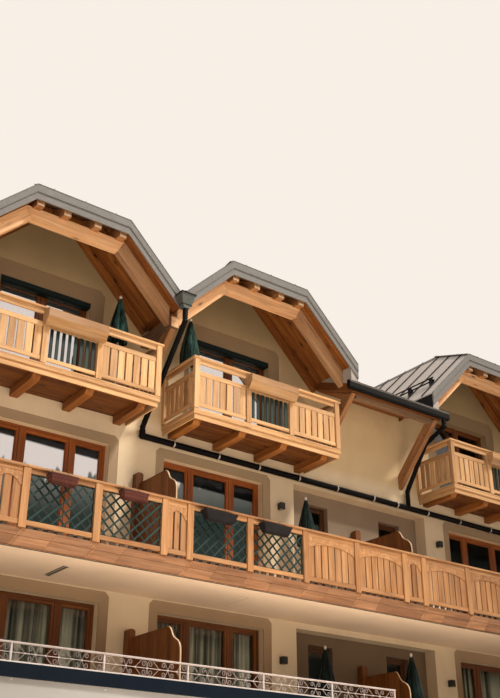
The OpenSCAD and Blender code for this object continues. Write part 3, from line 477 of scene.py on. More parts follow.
def cloth(name, col, thread=900.0, sheen=0.25, through=0.0, rough=0.9, folds=None, painted_light_tones=None, shady=0.0):
    """Woven cloth: two crossing thread waves, a slow fade, dark fold stripes and darkening by height and x as painted
    shade, and light coming through.
    """
    mt, nt, b = new_mat(name)
    g = attr(nt, "grain")
    wv = []
    for ax in ("X", "Z"):
        w = nt.nodes.new("ShaderNodeTexWave")
        w.wave_type, w.bands_direction = "BANDS", ax
        w.inputs["Scale"].default_value = thread / 10.0
        w.inputs["Distortion"].default_value = 0.4
        nt.links.new(g, w.inputs["Vector"])
        wv.append(w.outputs["Fac"])
    weave = calc(nt, "MULTIPLY", wv[0], wv[1])
    slow = noise(nt, scaled(nt, g, (1.5, 1.5, 0.6)), 1.0, 4.0, 0.6)
    c = mix(nt, ramp(nt, slow, [(0.3, 0.0), (0.7, 1.0)]), tuple(x * 0.8 for x in col), tuple(min(1, x * 1.12) for x in col))
    c = mix(nt, calc(nt, "MULTIPLY", weave, 0.25), c, tuple(min(1, x * 1.3) for x in col))
    if folds:
        # painted shade: dark stripes where the folds' hollows would be, lighter between them
        fold_shade = noise(nt, scaled(nt, coord(nt), folds), 1.0, 2.0, 0.55, 0.2)
        # painted shade: cloth right of x = -2 m is darkened
        if shady:
            xx = nd(nt, "SeparateXYZ", link={"Vector": coord(nt)}).outputs[0]
            c = mix(nt, 1.0, c, ramp(nt, span(nt, xx, -4.0, -2.0, 0.0, 1.0), [(0.0, (1.0, 1.0, 1.0)), (1.0, (shady, shady, shady))]), "MULTIPLY")
        c = mix(nt, 1.0, c, ramp(nt, fold_shade, [(0.38, (0.10, 0.10, 0.10)), (0.47, (0.45, 0.44, 0.42)), (0.56, (1.0, 1.0, 1.0)), (0.70, (1.25, 1.25, 1.2))]), "MULTIPLY")
    # painted shade set by height
    if painted_light_tones:
        c = by_height(nt, c, painted_light_tones)
    nt.links.new(c, b.inputs["Base Color"])
    b.inputs["Roughness"].default_value = rough
    b.inputs["Sheen Weight"].default_value = sheen
    b.inputs["Specular IOR Level"].default_value = 0.15
    bump(nt, b, weave, 0.2, 0.0006)
    if through:
        tr = nt.nodes.new("ShaderNodeBsdfTranslucent")
        nt.links.new(c, tr.inputs["Color"])
        mx = nt.nodes.new("ShaderNodeMixShader")
        mx.inputs[0].default_value = through
        nt.links.new(b.outputs[0], mx.inputs[1])
        nt.links.new(tr.outputs[0], mx.inputs[2])
        out = next(n for n in nt.nodes if n.type == "OUTPUT_MATERIAL")
        nt.links.new(mx.outputs[0], out.inputs[0])
    return mt


# ------------------------------------------------------------------ materials
M = {}
# painted shade: the larch is darkened towards the right-hand end
M["larch"] = wood("larch_timber", (0.34, 0.175, 0.070), (0.52, 0.30, 0.135), (0.67, 0.425, 0.215), knots=0.35, grey=0.10, tone_lo=0.72, side=0.80)
M["frame"] = wood("frame_timber", (0.36, 0.17, 0.072), (0.59, 0.32, 0.158), (0.75, 0.47, 0.26), knots=0.6, knot=1.5, grey=0.10, tone_lo=0.40, tone_hi=1.15)
# painted shade: the spruce is darkened between 8.7 m and 9.4 m, on the attic balconies' undersides
M["soffit"] = wood("spruce_soffit", (0.1008, 0.0302, 0.0059), (0.2100, 0.0689, 0.0134), (0.3108, 0.1176, 0.0252), knots=0.75, knot=2.1, painted_light_tones=[(8.7, (0.55, 0.53, 0.50)), (9.4, (0.55, 0.53, 0.50)), (9.8, (0.98, 0.98, 0.98)), (13.0, (0.98, 0.98, 0.98))])
M["bracket"] = wood("bracket_timber", (0.12, 0.038, 0.008), (0.25, 0.088, 0.018), (0.36, 0.14, 0.032), knots=0.5)
M["fascia"] = wood("fascia_timber", (0.115, 0.048, 0.018), (0.215, 0.094, 0.038), (0.34, 0.165, 0.075), knots=0.3, grey=0.30, grey_col=(0.27, 0.16, 0.09), tone_lo=0.70, tone_hi=1.30)
# painted shade: the rail timber is darkened towards the right-hand end
M["rail"] = wood("rail_timber", (0.19, 0.080, 0.027), (0.33, 0.155, 0.058), (0.46, 0.245, 0.102), knots=0.3, grey=0.25, grey_col=(0.34, 0.235, 0.145), side=0.80)
M["weathered"] = wood("weathered_timber", (0.09, 0.045, 0.022), (0.16, 0.085, 0.042), (0.24, 0.145, 0.08), knots=0.5, grey=0.4, grey_col=(0.15, 0.11, 0.08))
# painted light and shade by height: the window timber is darker and yellower below 5.8 m and much lighter from 6.2 m to
# 9.0 m
M["window"] = wood("window_timber", (0.085, 0.024, 0.005), (0.15, 0.045, 0.009), (0.22, 0.072, 0.016), knots=0.0, rough=0.42, tone_lo=0.85, tone_hi=1.1, painted_light_tones=[(5.8, (0.92, 0.90, 0.66)), (6.2, (1.75, 1.65, 1.75)), (9.0, (1.75, 1.65, 1.75)), (9.4, (1.0, 1.0, 1.1))])
M["dark"] = wood("dark_timber", (0.095, 0.029, 0.006), (0.165, 0.055, 0.010), (0.23, 0.085, 0.018), knots=0.2, rough=0.5)
# painted shade: a darker copy of the window timber for the loggia doors in the recess
M["window_dark"] = wood("window_timber_painted_shade", (0.050, 0.018, 0.006), (0.085, 0.030, 0.010), (0.125, 0.047, 0.017), knots=0.0, rough=0.42, tone_lo=0.85, tone_hi=1.1)
M["green"] = wood("green_paint", (0.0035, 0.013, 0.0115), (0.006, 0.021, 0.018), (0.010, 0.033, 0.028), knots=0.0, rough=0.5, tone_lo=0.30, tone_hi=1.3)
M["cream_edge"] = wood("cream_edge", (0.45, 0.36, 0.27), (0.62, 0.52, 0.41), (0.75, 0.66, 0.54), knots=0.0, rough=0.55)
# painted shade: on the front, the render darkens from 9.25 m up, under the eaves
M["render"] = plaster("render", (0.70, 0.565, 0.39), painted_light_tones=[(9.25, (1.0, 1.0, 1.0)), (9.45, (0.90, 0.83, 0.71)), (11.1, (0.76, 0.69, 0.57)), (12.1, (0.43, 0.39, 0.30)), (13.0, (0.38, 0.34, 0.26))])
# the borders' darker band is their own paint; on the front they are darker at 5 m, lighter at 6.2 m and darker from
# 9.45 m up as painted light and shade
M["border"] = plaster("plaster_border", (0.36, 0.262, 0.165), rain=0.10, painted_light_tones=[(5.0, (0.78, 0.70, 0.66)), (6.2, (1.12, 1.10, 1.07)), (9.25, (1.0, 1.0, 1.0)), (9.45, (0.80, 0.76, 0.71)), (13.0, (0.70, 0.66, 0.61))])
M["screen_edge"] = wood("screen_edge", (0.40, 0.27, 0.16), (0.58, 0.42, 0.27), (0.70, 0.54, 0.37), knots=0.0, rough=0.5)
# painted shade: a darker copy of the render for the recess walls, darker still below 5.75 m
M["shade"] = plaster("render_shade", (0.29, 0.215, 0.15), rain=0.05, painted_light_tones=[(5.75, (0.60, 0.56, 0.50)), (6.2, (1.0, 1.0, 1.0)), (9.0, (1.0, 1.0, 1.0))])
M["soffit_plaster"] = plaster("render_soffit", (0.86, 0.66, 0.48), rain=0.04, blotch=0.06, grain=0.3)
M["concrete"] = plaster("concrete", (0.42, 0.39, 0.35), rain=0.1, blotch=0.2, grain=0.8)
M["roof"] = metal("roof_sheet", (0.43, 0.39, 0.36), rough=0.6, metallic=0.0, dirt=0.35, dirt_col=(0.33, 0.30, 0.275), spec=0.2)
# painted shade: the ridge caps and seam ends are a dark grey
M["seam"] = metal("roof_seams_painted_shade", (0.14, 0.13, 0.12), rough=0.6, dirt=0.3, spec=0.2)
# painted shade: the standing seams are near black, for the shade along their sides
M["seamdark"] = metal("seam_edges_painted_shade", (0.030, 0.028, 0.027), rough=0.6, dirt=0.3, dirt_col=(0.05, 0.046, 0.043), spec=0.15)
M["brace"] = wood("brace_timber", (0.16, 0.066, 0.024), (0.27, 0.12, 0.045), (0.38, 0.19, 0.08), knots=0.45, grey=0.10)
M["trough"] = wood("trough_timber", (0.23, 0.112, 0.040), (0.36, 0.195, 0.080), (0.47, 0.28, 0.13), knots=0.25, grey=0.15)
M["darksheet"] = metal("dark_sheet", (0.020, 0.020, 0.022), rough=0.5, dirt=0.3, dirt_col=(0.045, 0.042, 0.040), spec=0.25)
M["grey"] = metal("grey_sheet", (0.075, 0.086, 0.081), rough=0.40, dirt=0.35, dirt_col=(0.085, 0.09, 0.082))
M["black"] = metal("black_pipe", (0.002, 0.002, 0.0025), rough=0.5, dirt=0.3, dirt_col=(0.006, 0.006, 0.006), spec=0.10)
M["clamp"] = metal("clamp_metal", (0.62, 0.58, 0.52), rough=0.35, metallic=0.8, dirt=0.25)
M["navy"] = metal("navy_sheet", (0.002, 0.0052, 0.0105), rough=0.5, dirt=0.25, dirt_col=(0.006, 0.010, 0.016), spec=0.10)
M["wrought_lit"] = metal("wrought_metal_lit", (0.66, 0.60, 0.575), rough=0.5, dirt=0.35, dirt_col=(0.42, 0.37, 0.33), scale=(3, 3, 3), spec=0.3)
M["wrought"] = metal("wrought_metal", (0.42, 0.375, 0.365), rough=0.55, dirt=0.5, dirt_col=(0.24, 0.205, 0.175), scale=(3, 3, 3), spec=0.3)
M["greenmetal"] = metal("green_metal", (0.0022, 0.009, 0.0085), rough=0.5, dirt=0.2, dirt_col=(0.006, 0.016, 0.015), spec=0.2)
M["lamp"] = metal("lamp_metal", (0.010, 0.010, 0.011), rough=0.35, dirt=0.2)
M["brownrib"] = metal("brown_plastic_ribs", (0.115, 0.034, 0.024), rough=0.6, dirt=0.35, dirt_col=(0.16, 0.06, 0.045), scale=(4, 4, 4), spec=0.25)
M["brownpl"] = metal("brown_plastic", (0.050, 0.013, 0.009), rough=0.6, dirt=0.35, dirt_col=(0.12, 0.042, 0.032), scale=(4, 4, 4), spec=0.25)
M["darkpl"] = metal("dark_plastic", (0.009, 0.008, 0.009), rough=0.6, dirt=0.35, dirt_col=(0.022, 0.019, 0.019), scale=(4, 4, 4), spec=0.2)
M["bolt"] = metal("bolt_metal", (0.035, 0.028, 0.024), rough=0.5, dirt=0.3)
M["polemetal"] = metal("parasol_metal", (0.68, 0.63, 0.56), rough=0.4, dirt=0.2)
M["glass"] = glass("window_glass")
M["tail"] = wood("tail_timber", (0.22, 0.09, 0.035), (0.36, 0.17, 0.065), (0.48, 0.26, 0.11), knots=0.3)
# painted shade: a darker copy of the spruce for the boards between the rafter tails
M["soffit_dark"] = wood("spruce_painted_shade", (0.055, 0.018, 0.006), (0.10, 0.035, 0.011), (0.15, 0.058, 0.020), knots=0.3)
M["packer"] = wood("packer_timber_painted_shade", (0.030, 0.016, 0.010), (0.050, 0.028, 0.016), (0.075, 0.042, 0.024), knots=0.0)
M["gutter"] = metal("gutter_sheet", (0.004, 0.004, 0.0045), rough=0.6, dirt=0.3, dirt_col=(0.012, 0.011, 0.010), spec=0.12)
# painted highlight: the gutter ribs are pale on the black sheet
M["rib"] = metal("gutter_rib_painted_highlight", (0.20, 0.175, 0.155), rough=0.6, dirt=0.3, spec=0.2)
M["verge"] = metal("verge_sheet", (0.17, 0.165, 0.16), rough=0.6, dirt=0.35, dirt_col=(0.14, 0.134, 0.128), spec=0.2)
# painted shade: the parapet render has the grey of its shaded face
M["parapet"] = plaster("parapet_render_painted_shade", (0.29, 0.284, 0.275), rain=0.10)
# painted shade: the curtains darken from 5.15 m up, under the window heads
M["curtain"] = cloth("curtain_cloth", (0.94, 0.83, 0.66), thread=700, through=0.35, folds=(9.0, 0.2, 0.06), painted_light_tones=[(3.0, (1.0, 1.0, 1.0)), (5.15, (1.0, 1.0, 1.0)), (5.55, (0.30, 0.29, 0.27)), (6.0, (0.30, 0.29, 0.27))])
# painted shade: dark fold stripes, and the parasols right of x = -2 m darkened
M["parasol"] = cloth("parasol_cloth", (0.017, 0.063, 0.052), thread=600, sheen=0.10, folds=(26.0, 26.0, 0.5), shady=0.32)


# ------------------------------------------------------------------ CAD nodes that keep their shape
nodes = frame["nodes"]


def paint(node, mat, bevel=0.0, seg=1, smooth=None):
    o = nodes[node] if not isinstance(nodes, (list, tuple)) else bpy.data.objects[node]
    o.data.materials.clear()
    o.data.materials.append(M[mat])
    if bevel:
        b = o.modifiers.new("edges", "BEVEL")
        b.width, b.segments, b.limit_method, b.angle_limit = bevel / 1000.0, seg, "ANGLE", math.radians(38)
        b.use_clamp_overlap = True
    if smooth:
        o.data.shade_smooth()
        o.data.set_sharp_from_angle(angle=math.radians(smooth))


for n_, mat_ in (("front_wall", "render"), ("back_wall", "render"), ("left_wall", "render"), ("right_wall", "render"), ("terrace_wall", "parapet"),
                 ("recess_wall", "shade"), ("balcony_slab", "soffit_plaster"), ("ground_floor", "concrete"), ("first_floor", "concrete"),
                 ("second_floor", "concrete"), ("attic_floor", "concrete"), ("terrace_deck", "concrete"), ("roof_covering", "roof"),
                 ("roof_deck", "soffit"), ("attic_balcony_decks", "soffit"), ("window_glass_front", "glass"), ("window_glass_sides", "glass")):
    paint(n_, mat_)
for n_, mat_, bv in (("terrace_band", "navy", 5), ("verge_fascias", "verge", 5), ("gutters", "gutter", 0), ("snow_guards", "gutter", 0),
                     ("rain_hoppers", "grey", 3), ("downpipes", "black", 0), ("collector_pipes", "black", 0), ("pipe_clamps", "clamp", 0)):
    paint(n_, mat_, bv, 2 if bv else 1, smooth=32 if n_ in ("downpipes", "collector_pipes", "pipe_clamps", "snow_guards") else None)

# ------------------------------------------------------------------ roof: standing seams, ridge and hip caps, valley sheets


def z_front(x, y):
    return EAVE + SLOPE * (y + OVER)


def z_back(x, y):
    return EAVE + SLOPE * (DEPTH - y + OVER)


def z_gable(c):
    return lambda x, y: GZ - abs(x - c)


def z_hip(x, y):
    return GZ - HIP_W + HIP_W / HIP_RUN * (y + OVER)


def hip_a(y):
    return max(0.0, HIP_W * (HY - y) / HIP_RUN)


def main_start(x):
    """Where the main front slope begins at this x: at the eave, or behind a gable."""
    for c in GABLES:
        s = -1 if x < c else 1
        if abs(x - c) <= reach(c, s):
            return meet_y(abs(x - c))
    return -OVER


# the standing seams carry the near-black painted-shade sheet
seams = Builder(11)
SW, SH, SP = 12.5, 42, 675
x = -HL - 900 + 260
while x < HL + 900:
    y0 = main_start(x)
    seams.plan([(x - SW, y0 + 6), (x + SW, y0 + 6), (x + SW, RIDGE_Y - 20), (x - SW, RIDGE_Y - 20)], z_front, -2, SH, Y)
    seams.plan([(x - SW, RIDGE_Y + 20), (x + SW, RIDGE_Y + 20), (x + SW, DEPTH + OVER - 6), (x - SW, DEPTH + OVER - 6)], z_back, -2, SH, Y)
    x += SP
for c in GABLES:
    zg = z_gable(c)
    for s in (-1, 1):
        y = -OVER + 340
        while y < meet_y(0) - 120:
            a0 = hip_a(y) + 14
            a1 = min(reach(c, s) - 8, GZ - EAVE - (y + OVER) * SLOPE - 10)
            if a1 - a0 > 120:
                seams.plan([(c + s * a0, y - SW), (c + s * a1, y - SW), (c + s * a1, y + SW), (c + s * a0, y + SW)], zg, -2, SH, X)
            y += SP
    for dx in (-660, 0, 660):
        y1 = HY - abs(dx) * HIP_RUN / HIP_W
        seams.plan([(c + dx - SW, -OVER + 6), (c + dx + SW, -OVER + 6), (c + dx + SW, y1 - 25), (c + dx - SW, y1 - 25)], z_hip, -2, SH, Y)
seams.make("standing_seams", M["seamdark"], "roof_sheet")

caps = Builder(12)
caps.prism([(RIDGE_Y - 170, MAIN_R - 68), (RIDGE_Y - 170, MAIN_R - 52), (RIDGE_Y, MAIN_R + 20), (RIDGE_Y + 170, MAIN_R - 52), (RIDGE_Y + 170, MAIN_R - 68), (RIDGE_Y, MAIN_R)],
           "x", -HL - 905, HL + 905)
for c in GABLES:
    caps.prism([(c - 130, GZ - 130), (c - 130, GZ - 112), (c, GZ + 22), (c + 130, GZ - 112), (c + 130, GZ - 130), (c, GZ)], "y", HY - 20, meet_y(0) + 10)
    for s in (-1, 1):
        p, q = Vector((c + s * HIP_W, -OVER, GZ - HIP_W)), Vector((c, HY, GZ))
        caps.bar(p, q, 120, 14, lift=4)
        caps.bar(p, q, 26, 10, lift=18)
caps.make("ridge_caps", M["seam"], "roof_sheet", bevel=2)

val = Builder(13)
for c in GABLES:
    for s in (-1, 1):
        r = reach(c, s)
        p, q = Vector((c + s * r, meet_y(r), GZ - r)), Vector((c, meet_y(0), GZ))
        d = (q - p).normalized()
        val.bar(p, q, 170, 5, lift=1)
for s in (-1, 1):
    v = s * VALLEY
    val.bar((v, -OVER, GZ - HALF_V), (v, meet_y(HALF_V), GZ - HALF_V), 150, 22, lift=2)
    # upstands beside the valley gutter
    for t in (-1, 1):
        a_ = v + t * 118
        val.bar((a_, -OVER + 4, GZ - HALF_V + 118), (a_, meet_y(HALF_V - 118) - 30, GZ - HALF_V + 118), 46, 44, lift=-6)
for c in GABLES:
    s = outer_side(c)
    xa, xb = sorted((c + s * (EDGE + 0.5), c + s * (EDGE + 5)))
    val.prism([(-OVER + 1, EAVE + 6), (-OVER + 1, GZ - EDGE - 34), (-OVER + (GZ - EDGE - EAVE - 40) / SLOPE, GZ - EDGE - 34)], "x", xa, xb, Y)
val.make("valley_sheets", M["gutter"], "dark_sheet")

# folded lips along the verges, a joint strap now and then, and clips along the level eaves
lips = Builder(14)
for c in GABLES:
    for s in (-1, 1):
        r = reach(c, s) - 6
        for z1, z2, y, w in ((GZ + 8, GZ + 8, -OVER - 44, 8), (12583 + 976 + 4, 12583 + 976 + 4, -OVER - 44, 7)):
            a0 = HIP_W if z1 > 13600 else 976
            k = z1
            lips.bar((c + s * a0, y, k - a0 - 6), (c + s * r, y, k - r - 6), w, 12, lift=-4)
        k = 2
        a = HIP_W + 520
        while a < r - 100:
            lips.bar((c + s * a, -OVER - 43, GZ - a - 4), (c + s * (a + 0.1), -OVER - 43, GZ - a - 160), 26, 3, upv=Y, lift=0)
            a += 980
    lips.bar((c - HIP_W, -OVER - 44, GZ - HIP_W + 6), (c + HIP_W, -OVER - 44, GZ - HIP_W + 6), 8, 10, lift=-6)
    lips.bar((c - 976, -OVER - 44, 12579), (c + 976, -OVER - 44, 12579), 7, 10, lift=-6)
lips.make("verge_lips", M["verge"], "roof_sheet")

clips = Builder(15)
for c in GABLES:
    for dx in (-660, 0, 660):
        clips.box(c + dx - 13, c + dx + 13, -OVER - 38, -OVER + 10, GZ - HIP_W + 10, GZ - HIP_W + 34, "y")
clips.make("seam_ends", M["seam"], "roof_sheet", bevel=3)

# ------------------------------------------------------------------ boarded undersides
sof, sofd = Builder(21), Builder(23)


def strips(y0, y1, n):
    return [(y0 + (y1 - y0) * i / n, y0 + (y1 - y0) * (i + 1) / n) for i in range(n)]


TH = 12.0
for c in GABLES:
    zg = z_gable(c)
    for s in (-1, 1):
        r = reach(c, s) - (191 if s == outer_side(c) else 92)
        for y0, y1 in strips(-OVER + 4, -1064, 2) + strips(-902, -134, 6):
            a0, a1 = hip_a(y0) + 2, hip_a(y1) + 2
            poly = [(c + s * a0, y0 + 2.5), (c + s * r, y0 + 2.5), (c + s * r, y1 - 2.5), (c + s * a1, y1 - 2.5)]
            sof.plan(poly, zg, -T_ALL - TH, -T_ALL - 0.5, Vector((s, 0, -1)))
    # boards under the hips nearer the eave than y = -690 get the darker spruce as painted shade
    for y0, y1 in strips(-OVER + 4, -134, 8):
        a0, a1 = hip_a(y0) - 4, hip_a(y1) - 4
        (sofd if y1 < -690 else sof).plan([(c - a0, y0 + 2.5), (c + a0, y0 + 2.5), (c + a1, y1 - 2.5), (c - a1, y1 - 2.5)], z_hip, -T_ALL - TH, -T_ALL - 0.5, X)
# main eaves: the middle, the two ends, the back, and the strips past the end walls
for y0, y1 in strips(-OVER + 4, -6, 9):
    if y0 > -1240 - 150 and y0 < -1095:
        continue
    sof.plan([(-1158, y0 + 2.5), (1158, y0 + 2.5), (1158, y1 - 2.5), (-1158, y1 - 2.5)], z_front, -T_ALL - TH, -T_ALL - 0.5, X)
    for s in (-1, 1):
        xa, xb = sorted((s * (HL + 896), s * (G_OUT + EDGE - 186)))
        sof.plan([(xa, y0 + 2.5), (xb, y0 + 2.5), (xb, y1 - 2.5), (xa, y1 - 2.5)], z_front, -T_ALL - TH, -T_ALL - 0.5, X)
for y0, y1 in strips(DEPTH + 6, DEPTH + OVER - 4, 9):
    xx = -HL - 896
    rr = random.Random(int(y0))
    while xx < HL + 896:
        xe = min(HL + 896, xx + 3200 + rr.random() * 1600)
        sof.plan([(xx + 1, y0 + 2.5), (xe - 1, y0 + 2.5), (xe - 1, y1 - 2.5), (xx + 1, y1 - 2.5)], z_back, -T_ALL - TH, -T_ALL - 0.5, X)
        xx = xe
for s in (-1, 1):
    for i in range(6):
        xa, xb = sorted((s * (HL + 6 + i * 148.5), s * (HL + 6 + (i + 1) * 148.5)))
        for zf, ya, yb in ((z_front, 0, RIDGE_Y), (z_back, RIDGE_Y, DEPTH)):
            for y0, y1 in ((ya + 1, ya + 2990), (ya + 3010, yb - 1)):
                sof.plan([(xa + 2.5, y0), (xb - 2.5, y0), (xb - 2.5, y1), (xa + 2.5, y1)], zf, -T_ALL - TH, -T_ALL - 0.5, Y)
sof.make("soffit_boards", M["soffit"], "spruce_soffit", bevel=2)
sofd.make("hip_soffit_boards", M["soffit_dark"], "spruce_soffit", bevel=2)

# a thin verge strip along each end of the main roof
eb = Builder(22)
for s in (-1, 1):
    for zf, ya, yb in ((z_front, -OVER, RIDGE_Y), (z_back, RIDGE_Y, DEPTH + OVER)):
        eb.plan([(s * (HL + 900), ya), (s * (HL + 906), ya), (s * (HL + 906), yb), (s * (HL + 900), yb)], zf, -T_ALL + 40, 10, Y)
eb.make("end_verges", M["verge"], "roof_sheet")

# ------------------------------------------------------------------ timber of the gables
gf = Builder(31)
K = GZ - T_ALL - G
for c in GABLES:
    ends = {}
    for s in (-1, 1):
        ends[s] = EDGE - 200 - G if s == outer_side(c) else HALF_V - 91
    # painted light and shade: the level beam and the left legs get light tones, the right legs a dark one
    gf.prism([(c - (K - 12429), 12429), (c + (K - 12429), 12429), (c + 910, 12163), (c - 910, 12163)], "y", -1061, -905, X, tone=0.9)
    for s in (-1, 1):
        r = ends[s]
        d = 1.2
        gf.prism([(c + s * (K - 12429 + d), 12429 - d - 12), (c + s * r, K - r - 12), (c + s * r, 13073 - r), (c + s * (910 + d), 12163 - d)], "y", -1061, -905, Vector((s, 0, -1)), tone=1.0 if s < 0 else 0.12)
gf.make("gable_frame_timbers", M["frame"], "larch_timber", ["gable_frames"], bevel=7, seg=2)

wr = Builder(32)
ZH = GZ - HIP_W + HIP_W / HIP_RUN * (-130 + OVER) - T_ALL - G
for c in GABLES:
    for s in (-1, 1):
        r = EDGE - 200 - G if s == outer_side(c) else HALF_V - 91
        a_hi, a_lo = K - 12 - ZH, K - 190 - ZH
        wr.prism([(c + s * a_lo, ZH), (c + s * a_hi, ZH), (c + s * r, K - 12 - r), (c + s * r, K - r - 190)], "y", -130, -1, Vector((s, 0, -1)))
wr.make("wall_rafter_timbers", M["soffit"], "spruce_soffit", ["wall_rafters"], bevel=6, seg=2)

rt, re_ = Builder(33), Builder(34)
hs = HIP_W / HIP_RUN
z0 = GZ - HIP_W - T_ALL


def cut_prism(b, poly, xa, xb, planes, along, tone):
    """A (y, z) polygon run from xa to xb and cut back by planes (point, outward normal)."""
    bm = bmesh.new()
    va, vb_ = [bm.verts.new((xa, y, z)) for y, z in poly], [bm.verts.new((xb, y, z)) for y, z in poly]
    n = len(poly)
    bm.faces.new(va)
    bm.faces.new(vb_[::-1])
    for i in range(n):
        bm.faces.new((va[i], va[(i + 1) % n], vb_[(i + 1) % n], vb_[i]))
    for co, no in planes:
        res = bmesh.ops.bisect_plane(bm, geom=list(bm.verts) + list(bm.edges) + list(bm.faces), plane_co=co, plane_no=no, clear_outer=True)
        cut = [e for e in res["geom_cut"] if isinstance(e, bmesh.types.BMEdge)]
        if cut:
            bmesh.ops.holes_fill(bm, edges=[e for e in bm.edges if e.is_boundary], sides=0)
    bm.verts.index_update()
    pts = [v.co.copy() for v in bm.verts]
    faces = [tuple(v.index for v in f.verts) for f in bm.faces]
    bm.free()
    along = Vector(along)
    b.member(pts, faces, (along, X, Z), tone)


for c in GABLES:
    for dx in (-850, -300, 345, 895):
        prof = [(-OVER + 70, z0 + hs * 70 - 13), (-704, z0 + hs * (OVER - 704) - 13), (-704, z0 + hs * (OVER - 704) - 128), (-905 + G, 12430), (-1061 - G, 12430), (-1061 - G, 12388), (-OVER + 82, 12364), (-OVER + 70, 12374)]
        s = -1 if dx < 0 else 1
        cut_prism(rt, prof, c + dx - 78, c + dx + 78, [((c, 0, GZ - T_ALL - 13), (s, 0, 1))] if abs(dx) > 600 else [], Y, 0.35 + 0.3 * rt.r.random())
        # painted sunlight: a pale strip across the lower part of each tail's front face
        re_.prism([(c + dx - 70, 12379), (c + dx + 70, 12379), (c + dx + 70, 12416), (c + dx - 70, 12416)], "y", -OVER + 66.5, -OVER + 69.6, X, tone=1.0)
rt.make("rafter_tail_timbers", M["tail"], "larch_timber", ["rafter_tails"], bevel=5, seg=2)
re_.make("rafter_nose_painted_sunlight", M["cream_edge"], "larch_timber", bevel=1)

vb = Builder(35)
for s in (-1, 1):
    vb.prism([(s * VALLEY - 90, 10870), (s * VALLEY + 90, 10870), (s * VALLEY + 90, 11110), (s * VALLEY - 90, 11110)], "y", -1130, -1, Y, tone=0.3)
u = EAVE - T_ALL - G
for xa, xb in ((-1158, 1158), (-HL - 840, -G_OUT - EDGE - 6), (G_OUT + EDGE + 6, HL + 840)):
    vb.prism([(-1240, 10590), (-1240, u + SLOPE * (OVER - 1240)), (-1100, u + SLOPE * (OVER - 1100)), (-1100, 10590)], "x", xa, xb, X)
vb.make("valley_beam_timbers", M["weathered"], "weathered_timber", ["valley_beams"], bevel=6, seg=2)
# painted sunlight: pale plates of frame timber on the valley beams' front ends
ve = Builder(36)
for s in (-1, 1):
    ve.prism([(s * VALLEY - 82, 10880), (s * VALLEY + 82, 10880), (s * VALLEY + 82, 11100), (s * VALLEY - 82, 11100)], "y", -1133, -1130.4, X, tone=0.9)
ve.make("valley_beam_sunlit_ends", M["frame"], "larch_timber", bevel=1)

kb = Builder(37)
bolts = Builder(38)


def brace(x, ztop, zlow, w):
    k = 1.032
    kb.prism([(-1, zlow), (-1, zlow + 340), (-(ztop - zlow - 340) / k, ztop - 1), (-(ztop - zlow) / k, ztop - 1)], "x", x - w / 2, x + w / 2, Vector((0, -1, k)))
    for t in (0.12, 0.42, 0.78):
        y = -(ztop - zlow - 170) / k * t - 60
        z = zlow + 170 + (ztop - zlow - 170) * t
        for sx in (-1, 1):
            bolts.lathe_x((x + sx * w / 2, y, z), 17, 9 * sx)


def lathe_x(self, c, r, h):
    n = 10
    pts = [(c[0] + dh, c[1] + rr * math.cos(2 * math.pi * k / n), c[2] + rr * math.sin(2 * math.pi * k / n)) for rr, dh in ((r, -2 * (1 if h > 0 else -1)), (r, h * 0.6), (r * 0.6, h)) for k in range(n)]
    faces = [(i * n + k, i * n + (k + 1) % n, (i + 1) * n + (k + 1) % n, (i + 1) * n + k) for i in range(2) for k in range(n)]
    faces += [tuple(range(n)), tuple(range(len(pts) - 1, len(pts) - n - 1, -1))]
    self.member(pts, faces, (X, Y, Z))


def lathe_y(self, c, r, h):
    """A small round head on a face that looks along -Y (h positive stands out towards -Y)."""
    n = 10
    pts = [(c[0] + rr * math.cos(2 * math.pi * k / n), c[1] - dh, c[2] + rr * math.sin(2 * math.pi * k / n)) for rr, dh in ((r, -1.5), (r, h * 0.6), (r * 0.6, h)) for k in range(n)]
    faces = [(i * n + k, i * n + (k + 1) % n, (i + 1) * n + (k + 1) % n, (i + 1) * n + k) for i in range(2) for k in range(n)]
    faces += [tuple(range(n)), tuple(range(len(pts) - 1, len(pts) - n - 1, -1))]
    self.member(pts, faces, (X, Y, Z))


Builder.lathe_x, Builder.lathe_y = lathe_x, lathe_y
for s in (-1, 1):
    brace(s * VALLEY, 10870, 9760, 120)
for xb in (-G_OUT - EDGE + 97, -G_IN + EDGE - 97, G_IN - EDGE + 97, G_OUT + EDGE - 97):
    brace(xb, EAVE - T_ALL, 9339, 120)
kb.make("knee_brace_timbers", M["brace"], "larch_timber", ["knee_braces"], bevel=7, seg=2)
# screw heads along the wall rafters, the frames and the hoppers' fronts
for c in GABLES:
    for s in (-1, 1):
        r = EDGE - 260 if s == outer_side(c) else HALF_V - 150
        a = 520.0
        while a < r:
            bolts.lathe_y((c + s * a, -130, K - a - 110), 11, 3)
            bolts.lathe_y((c + s * (a + 60), -1061, 13073 - a - 60 + 210), 8, 2.5) if a > 900 else None
            a += 430
for s in (-1, 1):
    bolts.lathe_y((s * VALLEY + 12, -1487 - 96, 11320), 9, 7)
bolts.make("bolt_heads", M["bolt"], "dark_sheet", smooth=True, angle=40)
hr = Builder(40)
for s in (-1, 1):
    v, hy, o, i_ = s * VALLEY, -1487.0, 5.0, 20.0
    for za, zb, gx, gy in ((11405, 11437, 166, 123), (11188, 11202, 104, 68)):
        yc = hy - 3 if gy > 100 else hy
        hr.box(v - gx - o, v + gx + o, yc - gy - o, yc - gy - 0.5, za, zb, "x")
        hr.box(v - gx - o, v + gx + o, yc + gy + 0.5, yc + gy + o, za, zb, "x")
        hr.box(v - gx - o, v - gx - 0.5, yc - gy, yc + gy, za, zb, "y")
        hr.box(v + gx + 0.5, v + gx + o, yc - gy, yc + gy, za, zb, "y")
hr.make("hopper_rims", M["gutter"], "dark_sheet", bevel=2)

